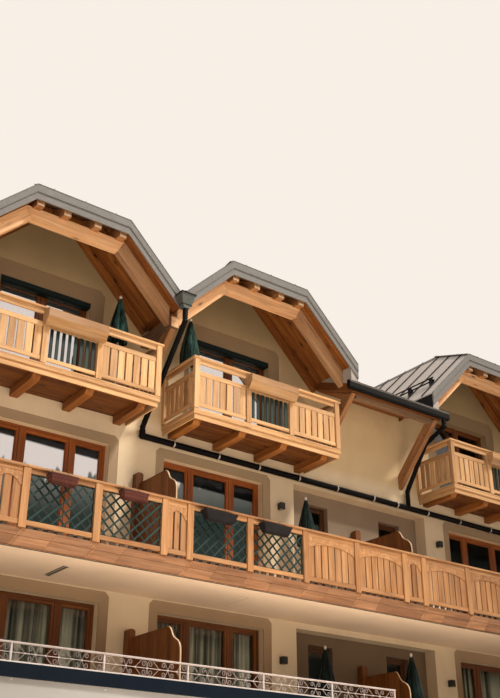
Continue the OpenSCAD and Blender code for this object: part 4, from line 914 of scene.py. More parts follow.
# ribs along the gutters' front lips, pale as painted highlights on the black sheet
gr = Builder(39)
GUT = -1463.0
for xa, xb in ((-1530, 1530), (-HL - 900, -G_OUT - EDGE + 350), (G_OUT + EDGE - 350, HL + 900)):
    for k, z in enumerate((10853, 10836, 10817)):
        gr.bar((xa + 1, GUT + 11 - k * 3.6, z), (xb - 1, GUT + 11 - k * 3.6, z), 6, 6, upv=Z, lift=-3)
for k, z in enumerate((10853, 10836, 10817)):
    gr.bar((-HL - 899, DEPTH - GUT - 11 + k * 3.6, z), (HL + 899, DEPTH - GUT - 11 + k * 3.6, z), 6, 6, upv=Z, lift=-3)
gr.make("gutter_ribs", M["rib"], "dark_sheet")

# ------------------------------------------------------------------ attic balconies
ab_r, ab_b, ab_s, ab_f, ab_k, ab_d, tr = (Builder(k) for k in (41, 42, 43, 44, 45, 46, 47))
for c0 in GABLES:
    c = c0 + AB_DX
    for p in (57 - AB_H, -543, 543, AB_H - 57):
        ab_r.box(c + p - 57, c + p + 57, AB_Y - 5, AB_Y + 85, 9312.5, AB_TOP - 40, "z")
    # handrail: front and sides
    ab_r.box(c - AB_H - 35, c + AB_H + 35, AB_Y - 20, AB_Y + 100, AB_TOP - 40, AB_TOP, "x")
    for s in (-1, 1):
        xs = sorted((s * (AB_H + 35), s * (AB_H - 85)))
        ab_r.box(c + xs[0], c + xs[1], AB_Y + 101, -1, AB_TOP - 40, AB_TOP, "y")
        xw = sorted((s * (AB_H - 75), s * (AB_H + 15)))
        ab_r.box(c + xw[0], c + xw[1], -80, -1, 9312.5, AB_TOP - 41, "z")
    for z0, z1, dy in ((AB_TOP - 140, AB_TOP - 41, 0), (10010, 10105, 0), (9368, 9440, 0)):
        posts = (57 - AB_H, -543, 543, AB_H - 57)
        for a, b in zip(posts[:-1], posts[1:]):
            ab_r.box(c + a + 57.5, c + b - 57.5, AB_Y + 20, AB_Y + 60, z0, z1, "x")
        for s in (-1, 1):
            xs = sorted((s * (AB_H - 45), s * (AB_H - 5)))
            ab_r.box(c + xs[0], c + xs[1], AB_Y + 101 if z1 > 10200 else AB_Y + 86, -81, z0, z1, "y")
    # boards with rounded gaps, seven to a field; five and a half on each side
    for s in (-1, 1):
        a = (543 + 57 if s > 0 else -AB_H + 114) + 12
        b = (AB_H - 114 if s > 0 else -543 - 57) - 12
        p = (b - a + 30) / 7
        for i in range(7):
            ab_b.box(c + a + i * p, c + a + i * p + p - 30, AB_Y + 28, AB_Y + 52, 9440.5, 10009.5, "z")
        for k in range(6):
            xs = sorted((s * (AB_H - 13), s * (AB_H - 37)))
            ab_b.box(c + xs[0], c + xs[1], AB_Y + 120 + k * 155, AB_Y + 245 + k * 155, 9440.5, 10009.5, "z")
    for k in range(8):
        ab_s.box(c - 447 + k * 118, c - 447 + k * 118 + 62, AB_Y + 28, AB_Y + 50, 9440.5, 10009.5, "z")
    # two-tier fascia with a moulded top edge, mitred round the corners
    low = [(30, 9100), (30, 9192), (36, 9199), (36, 9203), (60, 9203), (60, 9108), (52, 9100)]
    top = [(6, 9203), (0, 9212), (0, 9258), (7, 9264), (7, 9270), (0, 9276), (0, 9296), (12, 9309), (60, 9312), (60, 9203)]
    for prof in (low, top):
        n = len(prof)
        # front run, with mitred ends
        pts = [(c + e * (AB_H - d), AB_Y + d, z) for e in (-1, 1) for d, z in prof]
        faces = [tuple(range(n)), tuple(range(2 * n - 1, n - 1, -1))] + [(i, (i + 1) % n, n + (i + 1) % n, n + i) for i in range(n)]
        ab_f.member(pts, faces, (X, Y, Z), tone=0.55)
        for s in (-1, 1):
            pts = [(c + s * (AB_H - d), AB_Y + d + 0.5 if e == 0 else -1, z) for e in (0, 1) for d, z in prof]
            ab_f.member(pts, faces, (Y, X, Z), tone=0.5)
    # brackets with a stepped front end
    for x in (-1610, -535, 515, 1590):
        ab_k.prism([(-1, 9231), (-990, 9231), (-990, 9172), (-978, 9165), (-934, 9165), (-905, 9122), (-880, 9092), (-860, 9089), (-1, 9072)], "x", c + x - 80, c + x + 80, Y)
    # underside boards, running along the front
    for y0, y1 in strips(AB_Y + 62, -3, 8):
        ab_d.box(c - AB_H + 46, c + AB_H - 46, y0 + 2, y1 - 2, 9221.5, 9231.5, "x")
    # flower trough: boards of a bevelled box
    def tp(e):
        return [(AB_Y - 21 - e, 10015 + e), (AB_Y - 90 + e * 0.4, 10015 + e), (AB_Y - 190 + e, 10150 + e * 0.4), (AB_Y - 190 + e, 10300)]
    o, i = tp(0), tp(22)
    tr.prism([o[0], o[1], i[1], i[0]], "x", c - 610, c + 590, X)
    tr.prism([o[1], o[2], i[2], i[1]], "x", c - 610, c + 590, X)
    tr.prism([o[2], o[3], i[3], i[2]], "x", c - 610, c + 590, X)
    tr.prism([(AB_Y - 21, 10015 + 23), (AB_Y - 21, 10300), (AB_Y - 44, 10300), (AB_Y - 44, 10015 + 23)], "x", c - 609, c + 589, X)
    for xe in (c - 610, c + 566):
        tr.prism([(AB_Y - 45, 10038), (AB_Y - 92, 10038), (AB_Y - 167, 10152), (AB_Y - 167, 10299), (AB_Y - 45, 10299)], "x", xe + 0.5, xe + 23.5, Y)
    tr.prism([(AB_Y - 14, 10296), (AB_Y - 200, 10296), (AB_Y - 200, 10304), (AB_Y - 14, 10304)], "x", c - 616, c - 592, Y)
    tr.prism([(AB_Y - 14, 10296), (AB_Y - 200, 10296), (AB_Y - 200, 10304), (AB_Y - 14, 10304)], "x", c + 572, c + 596, Y)
ab_r.make("attic_railing_timbers", M["larch"], "larch_timber", ["attic_balcony_railings"], bevel=7, seg=2)
ab_b.make("attic_railing_boards", M["larch"], "larch_timber", ["attic_balcony_boards"], bevel=5, seg=2)
ab_s.make("attic_green_slats", M["green"], "green_paint", ["attic_balcony_slats"], bevel=4, seg=2)
ab_f.make("attic_fascia_boards", M["larch"], "larch_timber", ["attic_balcony_fascias"], bevel=2)
ab_k.make("attic_bracket_timbers", M["bracket"], "spruce_soffit", ["attic_balcony_brackets"], bevel=5, seg=2)
ab_d.make("attic_underside_boards", M["soffit"], "spruce_soffit", bevel=2)
tr.make("trough_boards", M["trough"], "larch_timber", ["flower_troughs"], bevel=3, seg=2)

# ------------------------------------------------------------------ long balcony
lr, lb, ll, lf = (Builder(k) for k in (51, 52, 53, 54))
F1 = 6171.0
for x in POSTS:
    lr.box(x - 65, x + 65, LB_Y - 20, LB_Y + 70, F1 + 0.5, LB_TOP - 42, "z")
for a, b in zip(POSTS[:-1], POSTS[1:]):
    lr.box(a + 65.5, b - 65.5, LB_Y, LB_Y + 50, LB_TOP - 130, LB_TOP - 42.5, "x")
    lr.box(a + 65.5, b - 65.5, LB_Y, LB_Y + 50, 6222, 6302, "x")
# the handrail in lengths that meet over posts
cuts = [-10610, -8774, -5698, -3127, -31, 2552, 5640, 8201, 10610]
for a, b in zip(cuts[:-1], cuts[1:]):
    lr.prism([(LB_Y - 35, LB_TOP - 42), (LB_Y - 35, LB_TOP - 10), (LB_Y - 26, LB_TOP), (LB_Y + 76, LB_TOP), (LB_Y + 85, LB_TOP - 10), (LB_Y + 85, LB_TOP - 42)], "x", a + 0.8, b - 0.8, X)
for s in (-1, 1):
    x = s * 10535
    lr.box(x - 60, x + 60, LB_Y + 86, -81, LB_TOP - 42, LB_TOP, "y")
    lr.box(x - 30, x + 30, LB_Y + 86, -81, LB_TOP - 130, LB_TOP - 42.5, "y")
    lr.box(x - 30, x + 30, LB_Y + 71, -81, 6222, 6302, "y")
    lr.box(x - 65, x + 65, -80 - 130, -80, F1 + 0.5, LB_TOP - 42.5, "z")
    for k in range(8):
        y0 = LB_Y + 75 + k * 185
        lb.box(x - 12, x + 12, y0, y0 + 150, 6302.5, LB_TOP - 130.5, "z")


def arch_field(x0, x1):
    w = x1 - x0
    n = max(3, round(w / 165))
    p = w / n
    rise = 96.0 if w > 900 else 120.0
    zt = LB_TOP - 130.5
    for i in range(n):
        gp = 11 if w > 900 else 15
        lb.box(x0 + i * p + (0.5 if i == 0 else gp), x0 + (i + 1) * p - (0.5 if i == n - 1 else gp), LB_Y + 14, LB_Y + 36, 6302.5, zt - 60, "z")
    # the arched board in front of them, from the rail down to the curve
    m_ = 18
    z_side = zt - 200
    arc = []
    for k in range(m_ + 1):
        t = k / m_
        arc.append((x0 + 40 + (w - 80) * t, z_side + rise * math.sin(math.pi * t) ** 0.8))
    poly = [(x0 + 0.5, zt), (x0 + 0.5, z_side - 14), (x0 + 40, z_side - 14)] + arc + [(x1 - 40, z_side - 14), (x1 - 0.5, z_side - 14), (x1 - 0.5, zt)]
    # split into strips
    for k in range(m_):
        (xa, za), (xb, zb) = arc[k], arc[k + 1]
        lb_arch.prism([(xa, za), (xb, zb), (xb, zt), (xa, zt)], "y", LB_Y + 2, LB_Y + 13.5, X, tone=arch_tone)
    lb_arch.prism([(x0 + 0.5, z_side - 14), (x0 + 40, z_side - 14), (x0 + 40, zt), (x0 + 0.5, zt)], "y", LB_Y + 2, LB_Y + 13.5, X, tone=arch_tone)
    lb_arch.prism([(x1 - 40, z_side - 14), (x1 - 0.5, z_side - 14), (x1 - 0.5, zt), (x1 - 40, zt)], "y", LB_Y + 2, LB_Y + 13.5, X, tone=arch_tone)


lb_arch = Builder(55)
for i, kind in enumerate(FIELDS):
    x0, x1 = POSTS[i] + 65, POSTS[i + 1] - 65
    arch_tone = lb_arch.r.random()
    if kind == 0:
        arch_field(x0, x1)
    else:
        z0, z1 = 6302.5, LB_TOP - 130.5
        cx, cz, hw = (x0 + x1) / 2 - 15, 6637.0, 16.0
        for sgn, ya, yb in ((1, LB_Y + 14.5, LB_Y + 23.5), (-1, LB_Y + 24, LB_Y + 33.5)):
            for k in range(-9, 10):
                x = cx + k * 193
                q = hw * math.sqrt(2)
                L = 1200
                poly = [(x - L - q, cz - sgn * L), (x - L + q, cz - sgn * L), (x + L + q, cz + sgn * L), (x + L - q, cz + sgn * L)]
                if sgn < 0:
                    poly = poly[::-1]
                poly = clip(poly, x0 + 1, x1 - 1, z0, z1)
                if len(poly) >= 3:
                    # painted light and shade: the front layer's strips get light tones, the back layer's dark ones
                    ll.prism(poly, "y", ya, yb, Vector((1, 0, sgn)), tone=(0.62 + 0.35 * ll.r.random()) if sgn > 0 else 0.25 * ll.r.random())
        for xa, xb in ((x0 + 1, x0 + 19), (x1 - 19, x1 - 1)):
            ll.box(xa, xb, LB_Y + 34, LB_Y + 48, z0, z1, "z")
        ll.box(x0 + 20, x1 - 20, LB_Y + 34, LB_Y + 48, z0, z0 + 18, "x")
        ll.box(x0 + 20, x1 - 20, LB_Y + 34, LB_Y + 48, z1 - 18, z1, "x")
lr.make("railing_timbers", M["rail"], "rail_timber", ["balcony_railing"], bevel=7, seg=2)
lb.make("railing_boards", M["rail"], "rail_timber", ["balcony_boards"], bevel=5)
lb_arch.make("arched_boards", M["rail"], "rail_timber")
ll.make("lattice_strips", M["green"], "green_paint", ["balcony_lattices"], bevel=2)

# fascia of two rows of boards: scarf joints that lean to the left along painted shadow edges, with a pale double strip
# and a painted sunlit patch beside each post and painted shade beyond
rr = random.Random(5)
LEAN = 0.74
sun_and_shade_marks = []
for k, x in enumerate(POSTS):
    nxt = POSTS[k + 1] if k + 1 < len(POSTS) else 99999
    if nxt - x < 700 or x > 10000:
        continue
    # tones beside each post: a pale double strip of painted light, then a painted sunlit patch to about 600 mm past it,
    # then painted shade to the next post
    sun_and_shade_marks += [(x + 22, 0.93), (x + 57, "gap"), (x + 60, 0.98), (x + 95, 0.50 + 0.18 * rr.random()), (x + 560 + 60 * rr.random(), 0.22 + 0.2 * rr.random())]
sun_and_shade_marks = [(-10640 - 400, 0.3)] + [q for q in sun_and_shade_marks if q[0] > -10400]
for z0, z1, y0 in ((5884, 6038, LB_Y), (6043, F1, LB_Y + 5)):
    for (xa, ta), (xb, _) in zip(sun_and_shade_marks, sun_and_shade_marks[1:] + [(10640 + 400, 0)]):
        if ta == "gap":
            continue
        lean0, lean1 = LEAN * (F1 - z0), LEAN * (F1 - z1)
        poly = clip([(xa + 0.8 - lean0, z0), (xb - 0.8 - lean0, z0), (xb - 0.8 - lean1, z1), (xa + 0.8 - lean1, z1)], -HL - 40, HL + 40, z0, z1)
        if len(poly) >= 3:
            lf.prism(poly, "y", y0, LB_Y + 59, X, tone=min(1.0, max(0.0, ta + 0.12 * (rr.random() - 0.5))))
    for s in (-1, 1):
        xa, xb = sorted((s * (HL + (45 if z0 < 6000 else 40)), s * (HL + 1)))
        lf.box(xa, xb, LB_Y + 60, -900, z0, z1, "y")
        lf.box(xa, xb, -898, -1, z0, z1, "y")
lf.make("fascia_boards", M["fascia"], "fascia_timber", ["balcony_fascia"], bevel=4, seg=2)
# packers under the bottom rail, in dark timber as painted shade in the gap
pk = Builder(59)
for a, b in zip(POSTS[:-1], POSTS[1:]):
    x = a + 65 + 40
    while x + 110 < b - 65:
        pk.box(x, x + 96, LB_Y + 12, LB_Y + 44, F1 + 0.7, 6221.5, "x")
        x += 172
pk.make("rail_packers", M["packer"], "rail_timber", bevel=2)
# painted shadow: a dark strip under the fascia for the shadow gap, also standing as the drip strip
dg = Builder(56)
dg.box(-HL - 40, HL + 40, LB_Y + 62, LB_Y + 84, 5876, 5884, "x")
dg.make("fascia_drip_and_painted_shadow", M["bolt"], "dark_sheet")
# slots and a hatch in the plastered underside
sl, sf = Builder(57), Builder(58)


def ring(b, xa, xb, ya, yb, z0, z1, w):
    b.box(xa, xb, ya, ya + w, z0, z1, "x")
    b.box(xa, xb, yb - w, yb, z0, z1, "x")
    b.box(xa, xa + w, ya + w, yb - w, z0, z1, "y")
    b.box(xb - w, xb, ya + w, yb - w, z0, z1, "y")


def mx(s, a, b):
    return (a, b) if s < 0 else (-b, -a)


for s in (-1, 1):
    xa, xb = mx(s, -7690, -7560)
    ring(sf, xa, xb, -1085, -330, 5897, 5900, 7)
    for (pa, pb_), ya, yb in (((-7680, -7655), -1074, -395), ((-7625, -7580), -1050, -341)):
        xa, xb = mx(s, pa, pb_)
        sl.box(xa, xb, ya, yb, 5896.5, 5900, "y")
    xa, xb = mx(s, -7650, -7630)
    sf.box(xa, xb, -1076, -338, 5897.5, 5900, "y")
    xa, xb = mx(s, -4130, -3960)
    ring(sf, xa, xb, -1105, -313, 5898, 5900, 8)
sl.make("underside_slots", M["bolt"], "dark_sheet")
sf.make("underside_frames", M["cream_edge"], "render_soffit")


# ------------------------------------------------------------------ plaster borders round the front openings
pl = Builder(61)


def border(c, w, z0, z1, m_, mt, ch):
    a, b, o, e = c - w / 2, c + w / 2, c - w / 2 - m_, c + w / 2 + m_
    zt = z1 + mt
    for poly in ([(o, z0), (a, z0), (a, z1), (o, z1)], [(b, z0), (e, z0), (e, z1), (b, z1)],
                 [(o, z1), (e, z1), (e, zt - ch), (e - ch, zt), (o + ch, zt), (o, zt - ch)]):
        pl.prism(poly, "y", 6, 25.2, Z)


for c in TRI:
    border(c, WIN_W, FIRST, FIRST + WIN_H, 188, 5883 - FIRST - WIN_H - 1, 80)
    border(c, WIN_W, SECOND, SECOND + WIN_H, 188, 185, 85)
for c in GABLES:
    border(c, 1900, ATTIC, 11490, 301, 353, 110)
pl.make("plaster_borders", M["border"], "render")

# ------------------------------------------------------------------ windows: outer frame, sash and glazing bead for every pane
wf, ws, wl = Builder(62), Builder(63), Builder(64)


def window(b, put, c, z0, z1, w, bars, y):
    """put(u, d, z) places a point: u along the wall, d the depth, z the height."""
    def block(u0, u1, d0, d1, za, zb, along):
        p = [put(*q) for q in ((u0, d0, za), (u1, d0, za), (u1, d1, za), (u0, d1, za), (u0, d0, zb), (u1, d0, zb), (u1, d1, zb), (u0, d1, zb))]
        ua = (Vector(put(1, 0, 0)) - Vector(put(0, 0, 0)))
        ax = {"u": (ua, Y if abs(ua.x) > 0.5 else X, Z), "z": (Z, ua, Y if abs(ua.x) > 0.5 else X)}[along]
        b.member(p, [(0, 3, 2, 1), (4, 5, 6, 7), (0, 1, 5, 4), (1, 2, 6, 5), (2, 3, 7, 6), (3, 0, 4, 7)], ax)
    f, q = 52.0, 4.0
    block(c - w / 2 + G, c - w / 2 + f, y, y + 90, z0 + G, z1 - G, "z")
    block(c + w / 2 - f, c + w / 2 - G, y, y + 90, z0 + G, z1 - G, "z")
    block(c - w / 2 + f, c + w / 2 - f, y, y + 90, z0 + G, z0 + f, "u")
    block(c - w / 2 + f, c + w / 2 - f, y, y + 90, z1 - f, z1 - G, "u")
    for k in bars:
        block(k - 42, k + 42, y, y + 90, z0 + f, z1 - f, "z")
    xs = [c - w / 2] + list(bars) + [c + w / 2]
    for i in range(len(xs) - 1):
        lo, hi = xs[i] + (105 if i == 0 else 98), xs[i + 1] - (105 if i == len(xs) - 2 else 98)
        so, eo = xs[i] + ((f if i == 0 else 42) + q), xs[i + 1] - ((f if i == len(xs) - 2 else 42) + q)
        zb, zt = z0 + f + q, z1 - f - q
        block(so, lo, y + 9, y + 80, zb, zt, "z")
        block(hi, eo, y + 9, y + 80, zb, zt, "z")
        block(lo, hi, y + 9, y + 80, zb, z0 + 110, "u")
        block(lo, hi, y + 9, y + 80, z1 - 105, zt, "u")
        # a seal behind the gap, and beads on the glass
        for u0, u1, za, zc in ((so - q, so, zb, zt), (eo, eo + q, zb, zt), (so - q, eo + q, zb - q, zb), (so - q, eo + q, zt, zt + q)):
            block(u0, u1, y + 40, y + 60, za, zc, "u")
        for u0, u1, za, zc in ((lo, lo + 12, z0 + 110, z1 - 105), (hi - 12, hi, z0 + 110, z1 - 105), (lo + 12, hi - 12, z0 + 110, z0 + 122), (lo + 12, hi - 12, z1 - 117, z1 - 105)):
            block(u0, u1, y + 30, y + 44.5, za, zc, "u")


def front_put(u, d, z):
    return (u, d, z)


for c in TRI:
    for z in (FIRST, SECOND):
        window(wf, front_put, c, z, z + WIN_H, WIN_W, [c - 500, c + 500], REVEAL)
for c in GABLES:
    window(wf, front_put, c, ATTIC, 11490, 1900, [c], REVEAL)
for z in (FIRST, SECOND):
    for c in (-1090, 1090):
        window(wl, front_put, c, z, z + 2420, 654, [], REC_D + 120)
for c in TRI + (0,):
    window(wf, front_put, c, 900, 2300, 1800, [c], TER_Y + 180)
wf.make("front_window_sashes", M["window"], "window_timber", ["window_frames_front"], bevel=3)
wl.make("loggia_door_sashes", M["window_dark"], "window_timber", ["window_frames_front"], bevel=3)
for c in TRI:
    for z in (900, FIRST + 900, SECOND + 900):
        window(ws, lambda u, d, zz: (u, DEPTH - d, zz), c, z, z + 1400, 1400, [c], 120)
for s in (-1, 1):
    for y, z, w in [(yy, zz, 1200) for yy in (2600, 6000, 9400) for zz in (900, FIRST + 900, SECOND + 900)] + [(6000, ATTIC + 900, 1200)]:
        window(ws, lambda u, d, zz, s=s: (s * (HL - d), u, zz), y, z, z + 1400, w, [y], 120)
ws.make("side_window_sashes", M["window"], "window_timber", ["window_frames_sides"], bevel=3)

# sills of folded sheet below the side, back and ground-floor windows
si = Builder(64)
for c in TRI:
    for z in (900, FIRST + 900, SECOND + 900):
        si.prism([(DEPTH - 119, z + 22), (DEPTH + 32, z + 8), (DEPTH + 32, z - 14), (DEPTH + 27, z - 14), (DEPTH + 27, z + 3), (DEPTH - 119, z + 1)], "x", c - 698, c + 698)
for c in TRI + (0,):
    si.prism([(TER_Y + 179, 922), (TER_Y + 28, 908), (TER_Y + 28, 888), (TER_Y + 33, 888), (TER_Y + 33, 903), (TER_Y + 179, 901)], "x", c - 898, c + 898)
for s in (-1, 1):
    for y, z in [(yy, zz) for yy in (2600, 6000, 9400) for zz in (900, FIRST + 900, SECOND + 900)] + [(6000, ATTIC + 900)]:
        prof = [(HL - 119, z + 22), (HL + 32, z + 8), (HL + 32, z - 14), (HL + 27, z - 14), (HL + 27, z + 3), (HL - 119, z + 1)]
        si.prism([(s * a, b) for a, b in prof], "y", y - 598, y + 598)
si.make("window_sills", M["darksheet"], "dark_sheet")

# awning cassettes: a rounded front with an end cap and a slot for the cloth
aw = Builder(65)
for c in GABLES[:2]:
    z1 = 11490 - 1.0
    prof = [(169, z1), (8, z1), (-4, z1 - 8), (-10, z1 - 26), (-10, z1 - 78), (-2, z1 - 92), (20, z1 - 94), (22, z1 - 88), (34, z1 - 88), (36, z1 - 110), (60, z1 - 114), (169, z1 - 114)]
    aw.prism(prof, "x", c - 936, c + 936)
    for s in (-1, 1):
        xa, xb = sorted((c + s * 937, c + s * 947.5))
        aw.prism([(169, z1), (-2, z1), (-10, z1 - 12), (-10, z1 - 104), (0, z1 - 114), (169, z1 - 114)], "x", xa, xb)
aw.make("awning_cassettes", M["greenmetal"], "green_metal", ["awning_boxes"], bevel=3, seg=2)

# wall lamps: a hollow black cube with a plate behind it and a pale disc above and below
lm, ld = Builder(66), Builder(67)
for x in (-2347, 2347):
    for z in (5109, 8218):
        lm.box(x - 50, x + 50, -8, -0.6, z - 62, z + 62, "z")
        lm.box(x - 55, x + 55, -130, -9, z - 70, z - 64, "x")
        lm.box(x - 55, x + 55, -130, -9, z + 64, z + 70, "x")
        lm.box(x - 55, x - 49, -130, -9, z - 63.5, z + 63.5, "z")
        lm.box(x + 49, x + 55, -130, -9, z - 63.5, z + 63.5, "z")
        lm.box(x - 48.5, x + 48.5, -130, -124, z - 63.5, z + 63.5, "z")
        lm.box(x - 48.5, x + 48.5, -15, -9, z - 63.5, z + 63.5, "z")
        ld.lathe((x, -70, z - 70), [(30, -2.5), (34, -1), (34, 0.5)], 20)
        ld.lathe((x, -70, z + 69.5), [(34, 0), (34, 1.5), (30, 2.5)], 20)
lm.make("lamp_housings", M["lamp"], "lamp_metal", ["wall_lamps"], bevel=3, seg=2)
ld.make("lamp_glasses", M["cream_edge"], "lamp_metal", smooth=True)

# ------------------------------------------------------------------ scrollwork along the parapet
sr, rl = Builder(71), Builder(70)
SY, SZ0, SZ1 = TER_Y + 40, 4010.5, 4288.0
ZM = SZ0 + 136


def spiral(cx, cz, r0, r1, a0, sweep, n):
    return [Vector((cx + (r0 + (r1 - r0) * k / n) * math.cos(a0 + sweep * k / n), SY, cz + (r0 + (r1 - r0) * k / n) * math.sin(a0 + sweep * k / n))) for k in range(n + 1)]


def scroll(x, sx, sz, lean, r):
    """One flat bar rising from the middle rail and rolling outward; sx and sz mirror it."""
    top = 104.0
    cx, cz = lean + r, top - r
    pts = [Vector((3, SY, 7)), Vector((3 + (lean - 3) * 0.5, SY, 7 + (cz - 7) * 0.5))]
    pts += spiral(cx, cz, r, r * 0.30, math.pi, -math.pi * 2.45, 20)
    sr.tube([Vector((x + sx * p.x, SY, ZM + sz * p.z)) for p in pts], 3.0, 6, flat=5.0)


x0, x1 = -HL + 30, -REC - 30
n = max(1, round((x1 - x0) / 1440))
for s in (-1, 1):
    def px(v):
        return s * v
    a, b = sorted((px(x0), px(x1)))
    p = (b - a) / n
    sr.box(a - 20, b + 20, SY - 22, SY + 22, SZ1 - 14, SZ1, "x")
    sr.box(a - 16, b + 16, SY - 8, SY + 8, SZ1 - 26, SZ1 - 14.5, "x")
    rl.box(a - 14, b + 14, SY - 16, SY + 16, SZ0, SZ0 + 24, "x")
    sr.box(a, b, SY - 5, SY + 5, ZM - 4, ZM + 4, "x")
    for i in range(n + 1):
        sr.box(a + i * p - 12, a + i * p + 12, SY - 12, SY + 12, SZ0 + 24.5, SZ1 - 26.5, "z")
    for i in range(2 * n + 1):
        xa = a + i * p / 2
        off = 14 if i % 2 == 0 else 1
        for sx in (-1, 1):
            if (i == 0 and sx < 0) or (i == 2 * n and sx > 0):
                continue
            for sz in (-1, 1):
                scroll(xa + sx * off, sx, sz, 5, 45)
        sr.box(xa - 15, xa + 15, SY - 9, SY + 9, ZM - 8, ZM + 8, "x")
        if i == 2 * n:
            continue
        h = p / 2
        for fx, sg in ((0.289, 1), (0.711, -1)):
            ax_ = xa + h * fx
            for sz in (-1, 1):
                sr.tube([(ax_ - sg * 110, SY, ZM + sz * 107), (ax_ - sg * 60, SY, ZM + sz * 62), (ax_ - sg * 6, SY, ZM + sz * 7)], 3.0, 6, flat=5.0)
            sr.box(ax_ - 11, ax_ + 11, SY - 9, SY + 9, ZM - 8, ZM + 8, "x")
        xb = xa + h / 2
        for sx in (-1, 1):
            for sz in (-1, 1):
                scroll(xb, sx, sz, 30, 40)
        sr.box(xb - 12, xb + 12, SY - 10, SY + 10, ZM - 9, ZM + 9, "x")
sr.make("scrollwork", M["wrought"], "wrought_metal", ["scroll_railing"], smooth=True, angle=45)
rl.make("railing_foot_rail", M["wrought_lit"], "wrought_metal", ["scroll_railing"], bevel=3)

# lap joints of the parapet's metal cap, and two small studs below it
nb = Builder(72)
for i in range(-8, 9):
    x = i * 1240.0
    nb.box(x - 22, x + 22, TER_Y - 3, TER_Y + 1, 3826, 4009, "z")
    nb.box(x - 22, x + 22, TER_Y - 3, TER_Y + 300, 4009.6, 4012, "y")
nb.make("cap_joints", M["navy"], "navy_sheet", bevel=1)
st = Builder(73)
for x, z in ((-9089, 3800), (-7654, 3790)):
    st.lathe_y((x, TER_Y + 60, z), 13, 10)
st.make("parapet_studs", M["cream_edge"], "lamp_metal", smooth=True)

# ------------------------------------------------------------------ screens between the flats
sc, se = Builder(74), Builder(75)
SWEEP = [(0, -6), (45, -30), (79, -72), (105, -120), (134, -168), (165, -200), (203, -225), (245, -246), (285, -271), (325, -311), (350, -351), (368, -401), (375, -456)]
for x, y1 in ((-VALLEY, 0.0), (0.0, REC_D - 20), (VALLEY, 0.0)):
    mir = -1 if x > 0 else 1
    for zf, h_, p_, t_ in ((FIRST, 1980, 1320, 2122), (SECOND, 1825, 1033, 2028)) if x else ((FIRST, 1900, 1010, 2122), (SECOND, 1725, 1343, 2028)):
        curve = [(y1 - 145, h_)] + [(y1 - p_ - a, h_ + b) for a, b in SWEEP]
        y_end = y1 - p_ - 375

        def top_z(y):
            for (ya, za), (yb, zb) in zip(curve[:-1], curve[1:]):
                if yb <= y <= ya:
                    return za + (zb - za) * (ya - y) / (ya - yb)
            return curve[-1][1]
        nb_ = round((p_ + 375 - 152) / 142)
        ys = [y1 - 152 + (y_end + 4 - y1 + 152) * k / nb_ for k in range(nb_ + 1)]
        for ya, yb in zip(ys[:-1], ys[1:]):
            ya, yb = ya - 3.0, yb + 3.0
            mids = [y for y, z in curve if yb + 4 < y < ya - 4]
            low = 8 if ya > y1 - p_ + 100 else 15
            poly = [(ya, zf + 32), (ya, zf + top_z(ya) - low)] + [(y, zf + top_z(y) - low) for y in mids] + [(yb, zf + top_z(yb) - low), (yb, zf + 32)]
            sc.prism(poly, "x", x - 13, x + 13, Z)
        for za in (240, 1180):
            for xa, xb in ((x - 21.5, x - 13.5), (x + 13.5, x + 21.5)):
                sc.box(xa, xb, y_end + 40, y1 - 160, zf + za, zf + za + 90, "y")
        # dark edge strip along the level top
        sc.prism([(y1 - 152, zf + h_ - 7), (y1 - 152, zf + h_), (y1 - p_, zf + h_ - 6), (y1 - p_, zf + h_ - 13)], "x", x - 22, x + 22, Y, tone=0.1)
        # wall post with a rounded cap
        xc = x - 30.5 * mir
        prof = [(-75, 0), (75, 0), (75, t_ - 41), (66, t_ - 22), (46, t_ - 7), (20, t_ - 1), (-20, t_ - 1), (-46, t_ - 7), (-66, t_ - 22), (-75, t_ - 41)]
        sc.prism([(xc + a, zf + 1 + b) for a, b in prof], "y", y1 - 149.5, y1 - 1, Z)
        # pale strip down the sweep and the front edge
        path = [(y, zf + z) for y, z in curve[1:]] + [(y_end, zf + 32)]
        for (ya, za), (yb, zb) in zip(path[:-1], path[1:]):
            d = Vector((yb - ya, zb - za)).normalized()
            nrm = Vector((d.y, -d.x))
            q = 12.0
            k_ = -1 if nrm.y > 0 else 1
            if abs(d.x) < 1e-4:
                k_ = 1 if nrm.x > 0 else -1
            se.prism([(ya, za), (yb, zb), (yb + nrm.x * q * k_, zb + nrm.y * q * k_), (ya + nrm.x * q * k_, za + nrm.y * q * k_)], "x", x - 14, x + 14, Vector((0, d.x, d.y)), tone=0.7)
sc.make("screen_boards", M["dark"], "dark_timber", ["privacy_screens"], bevel=3)
se.make("screen_edge_strips", M["screen_edge"], "dark_timber", bevel=2)

# ------------------------------------------------------------------ planters: thin walls, a rolled rim, ribs and two hooks over the handrail
pb, pd, ph, soil, pr = Builder(76), Builder(77), Builder(78), Builder(79), Builder(80)


